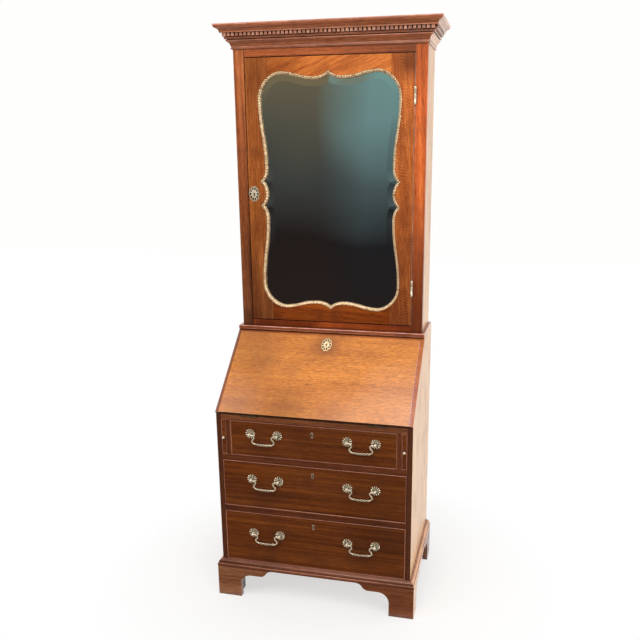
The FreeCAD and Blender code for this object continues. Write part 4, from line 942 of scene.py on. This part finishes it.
def gilt_slip():
    """The slip's section, carried round the mirror and carved with slanting leaves."""
    (outer, inner), front = front_loops("gilt_slip")
    low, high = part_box("gilt_slip")
    outer = evenly(outer, SLIP_STEP)
    inner = nearest(outer, evenly(inner, SLIP_INNER_STEP))
    leaves = round(length(outer) / LEAF_PITCH)
    count, wide = len(outer), len(SLIP_SECTION)
    bm = bmesh.new()
    verts = []
    for i in range(count):
        for t, depth in SLIP_SECTION:
            place = outer[i] + (inner[i] - outer[i]) * t
            turn = FULL_TURN * (leaves * i / count + LEAF_SLANT * t)
            carve = LEAF_DEPTH * (0.5 - 0.5 * cos(turn)) ** LEAF_SHARPNESS * sin(pi * t)
            carve += VEIN_SHARE * LEAF_DEPTH * sin(FULL_TURN * t) * sin(2 * turn)
            y = front + (high.y - low.y) * max(depth + carve, 0.0)
            verts.append(bm.verts.new((place[0], y, place[1])))
    bridge(bm, [verts[j::wide] for j in range(wide)], closed=True)
    weld(bm)
    piece_from(bm, "gilt_slip", "gilt", angle=55)


def mirror_plate():
    """Plate with a wide bevel that follows its shaped edge."""
    loops, front = front_loops("mirror_glass")
    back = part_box("mirror_glass")[1].y
    outer = evenly(loops[0], MIRROR_STEP)
    ahead = np.roll(outer, -1, 0) - np.roll(outer, 1, 0)
    inward = np.stack([-ahead[:, 1], ahead[:, 0]], 1) / np.linalg.norm(ahead, axis=1)[:, None]
    inner = outer + inward * BEVEL_WIDE
    gap = np.linalg.norm(nearest(inner, outer) - inner, axis=1)
    inner = inner[gap > BEVEL_WIDE - BEVEL_SLACK]
    count, inside = len(outer), len(inner)
    rings = [(i, (i + 1) % count) for i in range(count)]
    rings += [(count + i, count + (i + 1) % inside) for i in range(inside)]
    points = [Vector(p) for p in np.vstack([outer, inner])]
    places, _, triangles, origins, _, _ = geometry.delaunay_2d_cdt(points, rings, [], 1, LOOSE_WELD)
    bm = bmesh.new()
    corners = []
    for sources, p in zip(origins, places):
        flat = any(s >= count for s in sources)
        corners.append(bm.verts.new((p.x, front if flat else front + BEVEL_DROP, p.y)))
    edge = [corners[next(i for i, s in enumerate(origins) if k in s)] for k in range(count)]
    behind = [bm.verts.new((x, back, z)) for x, z in outer]
    for triangle in triangles:
        bm.faces.new([corners[i] for i in triangle])
    bridge(bm, [edge, behind])
    bm.faces.new(behind)
    weld(bm)
    piece_from(bm, "mirror_glass", "mirror")


gilt_slip()
mirror_plate()


# Petalled roses behind the drawer handles

PETALS = 12
PETAL_SHARE = 0.66
ROSE_STEPS = 20 * PETALS
ROSE_RINGS = (0.0, 0.28, 0.34, 0.40, 0.46, 0.53, 0.60, 0.67, 0.74, 0.80, 0.85, 0.90, 0.95, 1.0)
ROSE_RADIUS = 18 * MM
ROSE_VALLEY = 11.0 * MM
ROSE_RISE = 3.4 * MM
ROSE_EDGE = 1.0 * MM
TIP_RING, TIP_SPREAD, TIP_RISE = 0.84, 0.13, 0.75
COLLAR_RING, COLLAR_SPREAD, COLLAR_RISE = 0.38, 0.10, 0.9
RIDGE_RISE = 0.12
PETAL_START, PETAL_RUN = 0.46, 0.14
ROSE_TARNISH, PETAL_SHINE = 0.9, 1.5
# Radius and distance out of the post behind its round head
POST = ((0.0, 0.0), (4.4 * MM, 0.0), (4.4 * MM, 8 * MM), (3.2 * MM, 9.5 * MM))
BALL_RADIUS = 5.8 * MM
BALL_START = asin(-0.86)
BALL_STEPS = 10
BAIL_OUT = 15 * MM
POST_STEPS = 28


def round_place(centre, radius, turn, out):
    """A place about a centre on the front, at a radius and a turn, standing out from it."""
    return centre.x + radius * cos(turn), centre.y - out, centre.z + radius * sin(turn)


def bell(value, peak, spread):
    return exp(-((value - peak) / spread) ** 2)


def rose(bm, centre):
    """One rose: ridged petals round a ring, and a round-headed post."""
    tarnish_and_shade = bm.verts.layers.float["tarnish_and_shade"]
    rings = []
    for share in ROSE_RINGS:
        tip = bell(share, TIP_RING, TIP_SPREAD)
        collar = bell(share, COLLAR_RING, COLLAR_SPREAD)
        grown = min(1.0, max(0.0, (share - PETAL_START) / PETAL_RUN))
        ring = []
        for i in range(ROSE_STEPS):
            petal = abs(((i * PETALS / ROSE_STEPS) % 1.0) * 2 - 1) / PETAL_SHARE
            full = sqrt(max(0.0, 1 - petal ** 2))
            ridge = max(0.0, 1 - petal)
            radius = (ROSE_VALLEY + (ROSE_RADIUS - ROSE_VALLEY) * full) * share
            rise = TIP_RISE * tip * ridge + COLLAR_RISE * collar + RIDGE_RISE * ridge
            turn = FULL_TURN * i / ROSE_STEPS
            made = bm.verts.new(round_place(centre, radius, turn, ROSE_EDGE + ROSE_RISE * rise))
            made[tarnish_and_shade] = max(0.0, ROSE_TARNISH - PETAL_SHINE * sqrt(ridge) * grown - collar)
            ring.append(made)
        rings.append(ring)
    back = [bm.verts.new((v.co.x, centre.y, v.co.z)) for v in rings[-1]]
    bridge(bm, rings + [back])
    bm.faces.new(back)
    profile = list(POST)
    for i in range(BALL_STEPS + 1):
        angle = BALL_START + (pi / 2 - BALL_START) * i / BALL_STEPS
        profile.append((BALL_RADIUS * cos(angle), BAIL_OUT + BALL_RADIUS * sin(angle)))
    turns = [FULL_TURN * i / POST_STEPS for i in range(POST_STEPS)]
    post = [[bm.verts.new(round_place(centre, radius, t, out)) for t in turns] for radius, out in profile]
    bridge(bm, post)


def roses(node):
    """The four roses of one drawer, where the frame has their posts."""
    source = nodes[node].data
    bm = bmesh.new()
    bm.verts.layers.float.new("tarnish_and_shade")
    for group in solids(source):
        low, high = reach_of(source, group)
        rose(bm, Vector(((low.x + high.x) / 2, high.y, (low.z + high.z) / 2)))
    weld(bm)
    piece_from(bm, node, "brass", angle=50)


for plates in ROSES:
    roses(plates)


# Swan-neck bails with a twisted bar

WIRE_RADIUS = 2.6 * MM
ROPE_RADIUS = 2.8 * MM
ROPE_DEPTH = 1.1 * MM
ROPE_PITCH = 11.2 * MM
ROPE_HALF = 28 * MM
ROPE_TARNISH, ROPE_SHINE = 1.3, 0.1
COLLAR_RADIUS = 3.3 * MM
COLLAR_HALF = 1.4 * MM
BAIL_HALF = 50.5 * MM
BAIL_LEAN = 0.15
BAIL_STEP = 0.6 * MM
BAIL_ROUND = 20
BALL_OVERLAP = 0.3 * MM
CURVE_STEPS = 12
PIVOT_BELOW_TOP = 2.0 * MM
BAR_LEVEL = -33.5 * MM
# Half of the bail's middle line in mm, from the post to the middle of the bar
NECK = ((40.0, -0.6), (35.2, -2.8), (32.6, -7.5), (34.0, -12.8), (37.8, -17.4), (40.4, -22.2), (40.2, -27.0),
        (36.8, -31.4), (31.5, -34.2), (25.0, -35.4), (14.0, -36.4), (0.0, -36.8))


def bail_path():
    """Middle line of a bail from one post to the other, below the pivot, in even short steps."""
    half = [Vector((BAIL_HALF - BALL_RADIUS + BALL_OVERLAP, 0.0))] + [Vector(place) * MM for place in NECK]
    corners = [Vector((-v.x, v.y)) for v in half[:-1]] + half[::-1]
    corners = [corners[0] * 2 - corners[1], *corners, corners[-1] * 2 - corners[-2]]
    line = []
    for a, b, c, d in zip(corners, corners[1:], corners[2:], corners[3:]):
        for i in range(CURVE_STEPS):
            t = i / CURVE_STEPS
            line.append(0.5 * (2 * b + (c - a) * t + (2 * a - 5 * b + 4 * c - d) * t ** 2
                               + (3 * b - a - 3 * c + d) * t ** 3))
    line = np.array(line + [corners[-2]])
    run = run_along(line)
    return at_runs(np.linspace(0, run[-1], int(run[-1] / BAIL_STEP)), run, line)


def bail_radius(x, turn):
    """Radius of the bar at a place from its middle and round it: a twist between two collars."""
    past = abs(x) - ROPE_HALF
    if past < 0:
        return ROPE_RADIUS + ROPE_DEPTH * cos(2 * turn - FULL_TURN * x / ROPE_PITCH)
    if past < 2 * COLLAR_HALF:
        share = past / COLLAR_HALF - 1
        return WIRE_RADIUS + (COLLAR_RADIUS - WIRE_RADIUS) * sqrt(1 - share ** 2)
    return WIRE_RADIUS


def bail(node):
    """One bail in the place of the frame's: plain necks and a twisted bar, leaning in to the drawer."""
    low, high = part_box(node)
    centre = Vector(((low.x + high.x) / 2, (low.y + high.y) / 2, high.z - PIVOT_BELOW_TOP))
    path = bail_path()
    ahead = np.gradient(path, axis=0)
    ahead /= np.linalg.norm(ahead, axis=1)[:, None]
    bm = bmesh.new()
    tarnish_and_shade = bm.verts.layers.float.new("tarnish_and_shade")
    rings = []
    for (x, z), (dx, dz) in zip(path, ahead):
        bar = z < BAR_LEVEL
        ring = []
        for k in range(BAIL_ROUND):
            turn = FULL_TURN * k / BAIL_ROUND
            radius = bail_radius(x, turn) if bar else WIRE_RADIUS
            side, out = radius * cos(turn), radius * sin(turn)
            level = z + dx * side
            place = (centre.x + x - dz * side, centre.y + out - BAIL_LEAN * level, centre.z + level)
            ring.append(bm.verts.new(place))
            hollow = (ROPE_RADIUS - radius) / ROPE_DEPTH if bar and abs(x) < ROPE_HALF else -1.0
            ring[-1][tarnish_and_shade] = max(0.0, ROPE_TARNISH * hollow - ROPE_SHINE)
        rings.append(ring)
    bridge(bm, rings)
    bm.faces.new(rings[0])
    bm.faces.new(rings[-1][::-1])
    weld(bm)
    piece_from(bm, node, "brass", angle=60)


for bailed in BAILS:
    bail(bailed)


# Pierced escutcheons

LOBES = 10
LOBE_DEPTH, LOBE_ROUND = 0.20, 0.7
PLATE_WIDE, PLATE_HIGH = 20.0 * MM, 27.9 * MM
PLATE_THICK = 1.35 * MM
PLATE_FLOOR = 0.1 * MM
PLATE_TURNS, PLATE_RINGS = 240, 40
PLATE_EYE = 0.07
DOME_SHARE, DOME_FALL = 0.52, 0.25
BORDER_LEVEL, BORDER_RISE = 0.55, 0.25
PIERCING_RING, PIERCING_DEEP, PIERCING_WIDE = 0.69, 0.20, 0.36
KEYHOLE_RADIUS = 3.4 * MM
KEYHOLE_SLOT = 1.9 * MM
KEYHOLE_DROP = 9 * MM
FALL_KEY_UP = 306.5 * MM
DOOR_KEY = on_book(-0.2818, 1.47736)


def plate_place(i, j):
    """Flat place of a corner of a plate's grid: so far round it, and so far out to its lobed edge."""
    angle = FULL_TURN * i / PLATE_TURNS
    share = PLATE_EYE + (1 - PLATE_EYE) * j / PLATE_RINGS
    lobe = abs(cos(LOBES / 2 * angle))
    reach = share * (1 - LOBE_DEPTH + LOBE_DEPTH * lobe ** LOBE_ROUND)
    return PLATE_WIDE * reach * cos(angle), PLATE_HIGH * reach * sin(angle)


def plate_height(j):
    """Height of a plate's face: a domed middle inside a rounded border."""
    share = j / PLATE_RINGS
    if share < DOME_SHARE:
        return PLATE_THICK * (1 - DOME_FALL * (share / DOME_SHARE) ** 2)
    border = sin(pi * (share - DOME_SHARE) / (1 - DOME_SHARE))
    return PLATE_THICK * (BORDER_LEVEL + BORDER_RISE * border)


def plate_kept(i, j):
    """Whether a cell of a plate's grid is left, rather than cut for the keyhole or a piercing."""
    x, z = plate_place(i + 0.5, j + 0.5)
    if hypot(x, z) < KEYHOLE_RADIUS or (abs(x) < KEYHOLE_SLOT and -KEYHOLE_DROP < z < 0):
        return False
    share = (j + 0.5) / PLATE_RINGS
    across = abs(((i + 0.5) * LOBES / PLATE_TURNS + 0.5) % 1.0 - 0.5)
    return (across / PIERCING_WIDE) ** 2 + ((share - PIERCING_RING) / PIERCING_DEEP) ** 2 >= 1


def pierced_plate(node, to_place):
    """Lobed plate with a ring of piercings round a domed middle, painted dark as shade on a floor at the
    bottom of the piercings and keyhole.

    to_place turns flat places into the frame's.
    """
    bm = bmesh.new()
    tarnish_and_shade = bm.verts.layers.float.new("tarnish_and_shade")
    made = {}

    def corner(i, j, level):
        key = (i % PLATE_TURNS, j, level)
        if key not in made:
            out = {"face": plate_height(j), "floor": PLATE_FLOOR, "back": 0.0}[level]
            made[key] = bm.verts.new(to_place(*plate_place(i % PLATE_TURNS, j), out))
            # Painted shade: the floor at the bottom of each hole is dark.
            made[key][tarnish_and_shade] = 1.0 if level == "floor" else 0.0
        return made[key]

    cells = [(i, j) for i in range(PLATE_TURNS) for j in range(PLATE_RINGS)]
    kept = {cell for cell in cells if plate_kept(*cell)}
    for i, j in cells:
        ring = ((i, j), (i + 1, j), (i + 1, j + 1), (i, j + 1))
        level = "face" if (i, j) in kept else "floor"
        bm.faces.new([corner(*c, level) for c in ring])
        bm.faces.new([corner(*c, "back") for c in reversed(ring)])
        beside = ((i, j - 1), ((i + 1) % PLATE_TURNS, j), (i, j + 1), ((i - 1) % PLATE_TURNS, j))
        for a, b, other in zip(ring, ring[1:] + ring[:1], beside):
            rim = not 0 <= other[1] < PLATE_RINGS
            if rim or (level == "face" and other not in kept):
                foot = "back" if rim else "floor"
                bm.faces.new([corner(*a, level), corner(*a, foot), corner(*b, foot), corner(*b, level)])
    bmesh.ops.recalc_face_normals(bm, faces=bm.faces)
    piece_from(bm, node, LOOKS[node], angle=50)


pierced_plate("fall_escutcheon", lambda x, z, out: on_fall(x, FALL_KEY_UP + z) + FALL_OUT * out)
pierced_plate("door_escutcheon", lambda x, z, out: DOOR_KEY + Vector((x, -out, z)))


# Stage, light and camera

FLOOR_HALF = 9.0
SHADOW_NEAR, SHADOW_FAR = 0.35, 0.9
WORLD_LIGHT = 0.45
SWEEP_TOP = 3.4
SWEEP_ENDS = (-4.2, 2.0)
WARM_END, COOL_START = -1.15, -0.65
# The sweep's places on Y and Z, from the foot of the object to the top of the wall
SWEEP_PROFILE = ((-0.255, 0.004), (-3.6, 0.004), (-4.3, 0.25), (-4.6, 0.9), (-4.6, 4.2))
# Colours up the sweep's wall, by share of its height
WARM_WALL = ((0.06, (0.026, 0.016, 0.014)), (0.30, (0.020, 0.014, 0.013)), (0.46, (0.055, 0.056, 0.054)),
             (0.64, (0.105, 0.096, 0.072)), (0.9, (0.20, 0.155, 0.09)))
COOL_WALL = ((0.06, (0.022, 0.016, 0.016)), (0.30, (0.018, 0.016, 0.018)), (0.46, (0.075, 0.10, 0.105)),
             (0.64, (0.17, 0.285, 0.285)), (0.9, (0.20, 0.35, 0.33)))
CAMERA_PLACE = (0.6575, -2.4988, 1.6133)
CAMERA_YAW, CAMERA_PITCH, CAMERA_ROLL = 0.2259, -0.2542, -0.0029


def stage_mesh(name, verts, faces, material):
    mesh = bpy.data.meshes.new(name)
    mesh.from_pydata(verts, [], faces)
    mesh.materials.append(material)
    made = put(name, mesh)
    return made


def floor():
    """White floor that keeps a soft shadow near the object and runs out into the white background."""
    g = new_graph("floor")
    place = g.place()
    colour = g.mix(g.noise(place, 3), (0.90, 0.90, 0.89), (0.88, 0.88, 0.875))
    lit = g.add("ShaderNodeBsdfDiffuse", {"Color": colour})
    white = g.add("ShaderNodeEmission", {"Color": (1, 1, 1, 1), "Strength": 1.0})
    away = g.add("ShaderNodeVectorMath", {0: place}, operation="LENGTH").outputs["Value"]
    share = g.math("MULTIPLY", g.between(away, SHADOW_NEAR, SHADOW_FAR, 0.6, 1.0), g.seen())
    blend = g.add("ShaderNodeMixShader", {0: share, 1: lit.outputs[0], 2: white.outputs[0]})
    corners = [(x * FLOOR_HALF, y * FLOOR_HALF, 0) for x, y in ((-1, -1), (1, -1), (1, 1), (-1, 1))]
    stage_mesh("floor", corners, [(0, 1, 2, 3)], g.output(blend))


def dark_sweep():
    """Glowing sweep in front of the object that only reflections see, painting reflections of a dim floor,
    grey-blue wall and end walls.
    """
    g = new_graph("dark_sweep")
    place = g.place()
    soft = g.noise(place, 0.9)
    climb = g.between(g.math("ADD", g.axis(place, 2), g.math("MULTIPLY", soft, 0.5)), 0.0, SWEEP_TOP)
    aside = g.math("ADD", g.axis(place, 0), g.math("MULTIPLY", soft, 0.3))
    colour = g.mix(g.between(aside, WARM_END, COOL_START), g.ramp(climb, WARM_WALL), g.ramp(climb, COOL_WALL))
    glow = g.add("ShaderNodeEmission", {"Color": colour, "Strength": 1.0})
    verts = [(x, y, z) for y, z in SWEEP_PROFILE for x in SWEEP_ENDS]
    faces = [(2 * i, 2 * i + 1, 2 * i + 3, 2 * i + 2) for i in range(len(SWEEP_PROFILE) - 1)]
    verts += [(x, SWEEP_PROFILE[0][0], SWEEP_PROFILE[-1][1]) for x in SWEEP_ENDS]
    faces += [tuple(range(k, len(verts), 2)) for k in (0, 1)]
    made = stage_mesh("dark_sweep", verts, faces, g.output(glow))
    for ray in ("camera", "diffuse", "shadow", "transmission"):
        setattr(made, "visible_" + ray, False)


def lamp(name, place, aim, size, power, colour, reflected=True):
    data = bpy.data.lights.new(name, "AREA")
    data.shape = "RECTANGLE"
    data.size, data.size_y = size
    data.energy = power
    data.color = colour
    made = put(name, data)
    made.location = place
    made.rotation_euler = (Vector(aim) - Vector(place)).to_track_quat("-Z", "Y").to_euler()
    made.visible_camera = False
    made.visible_glossy = reflected


def surroundings():
    """White all round for the eye and for reflections, and a softer level of light from it."""
    scene.world = bpy.data.worlds.new("surroundings")
    g = Graph(scene.world)
    strength = g.between(g.seen(), 0.0, 1.0, WORLD_LIGHT, 1.0)
    light = g.add("ShaderNodeBackground", {"Color": (1.0, 0.995, 0.985, 1.0), "Strength": strength})
    g.output(light, "ShaderNodeOutputWorld")


def camera():
    """Camera where the photograph was taken from, turned a little left and down."""
    data = bpy.data.cameras.new("camera")
    data.sensor_width = 36.0
    data.lens = 40.763
    data.shift_x = -0.0454
    data.shift_y = 0.0365
    scene.camera = put("camera", data)
    level = Matrix.Translation(CAMERA_PLACE) @ Matrix.Rotation(CAMERA_YAW, 4, "Z")
    tilt = Matrix.Rotation(pi / 2 + CAMERA_PITCH, 4, "X") @ Matrix.Rotation(CAMERA_ROLL, 4, "Z")
    scene.camera.matrix_world = level @ tilt


floor()
dark_sweep()
surroundings()
lamp("ceiling", (0.6, -2.05, 3.9), (0.0, 0.0, 0.9), (3.2, 2.2), 95.0, (1.0, 0.97, 0.93))
lamp("side_fill", (4.2, 0.6, 1.6), (0.0, 0.0, 1.0), (2.4, 2.4), 70.0, (1.0, 0.95, 0.88))
lamp("front_fill", (-3.5, -3.3, 2.3), (0.0, 0.0, 1.0), (1.6, 2.4), 60.0, (1.0, 0.98, 0.95), reflected=False)
camera()
scene.view_settings.view_transform = "Standard"
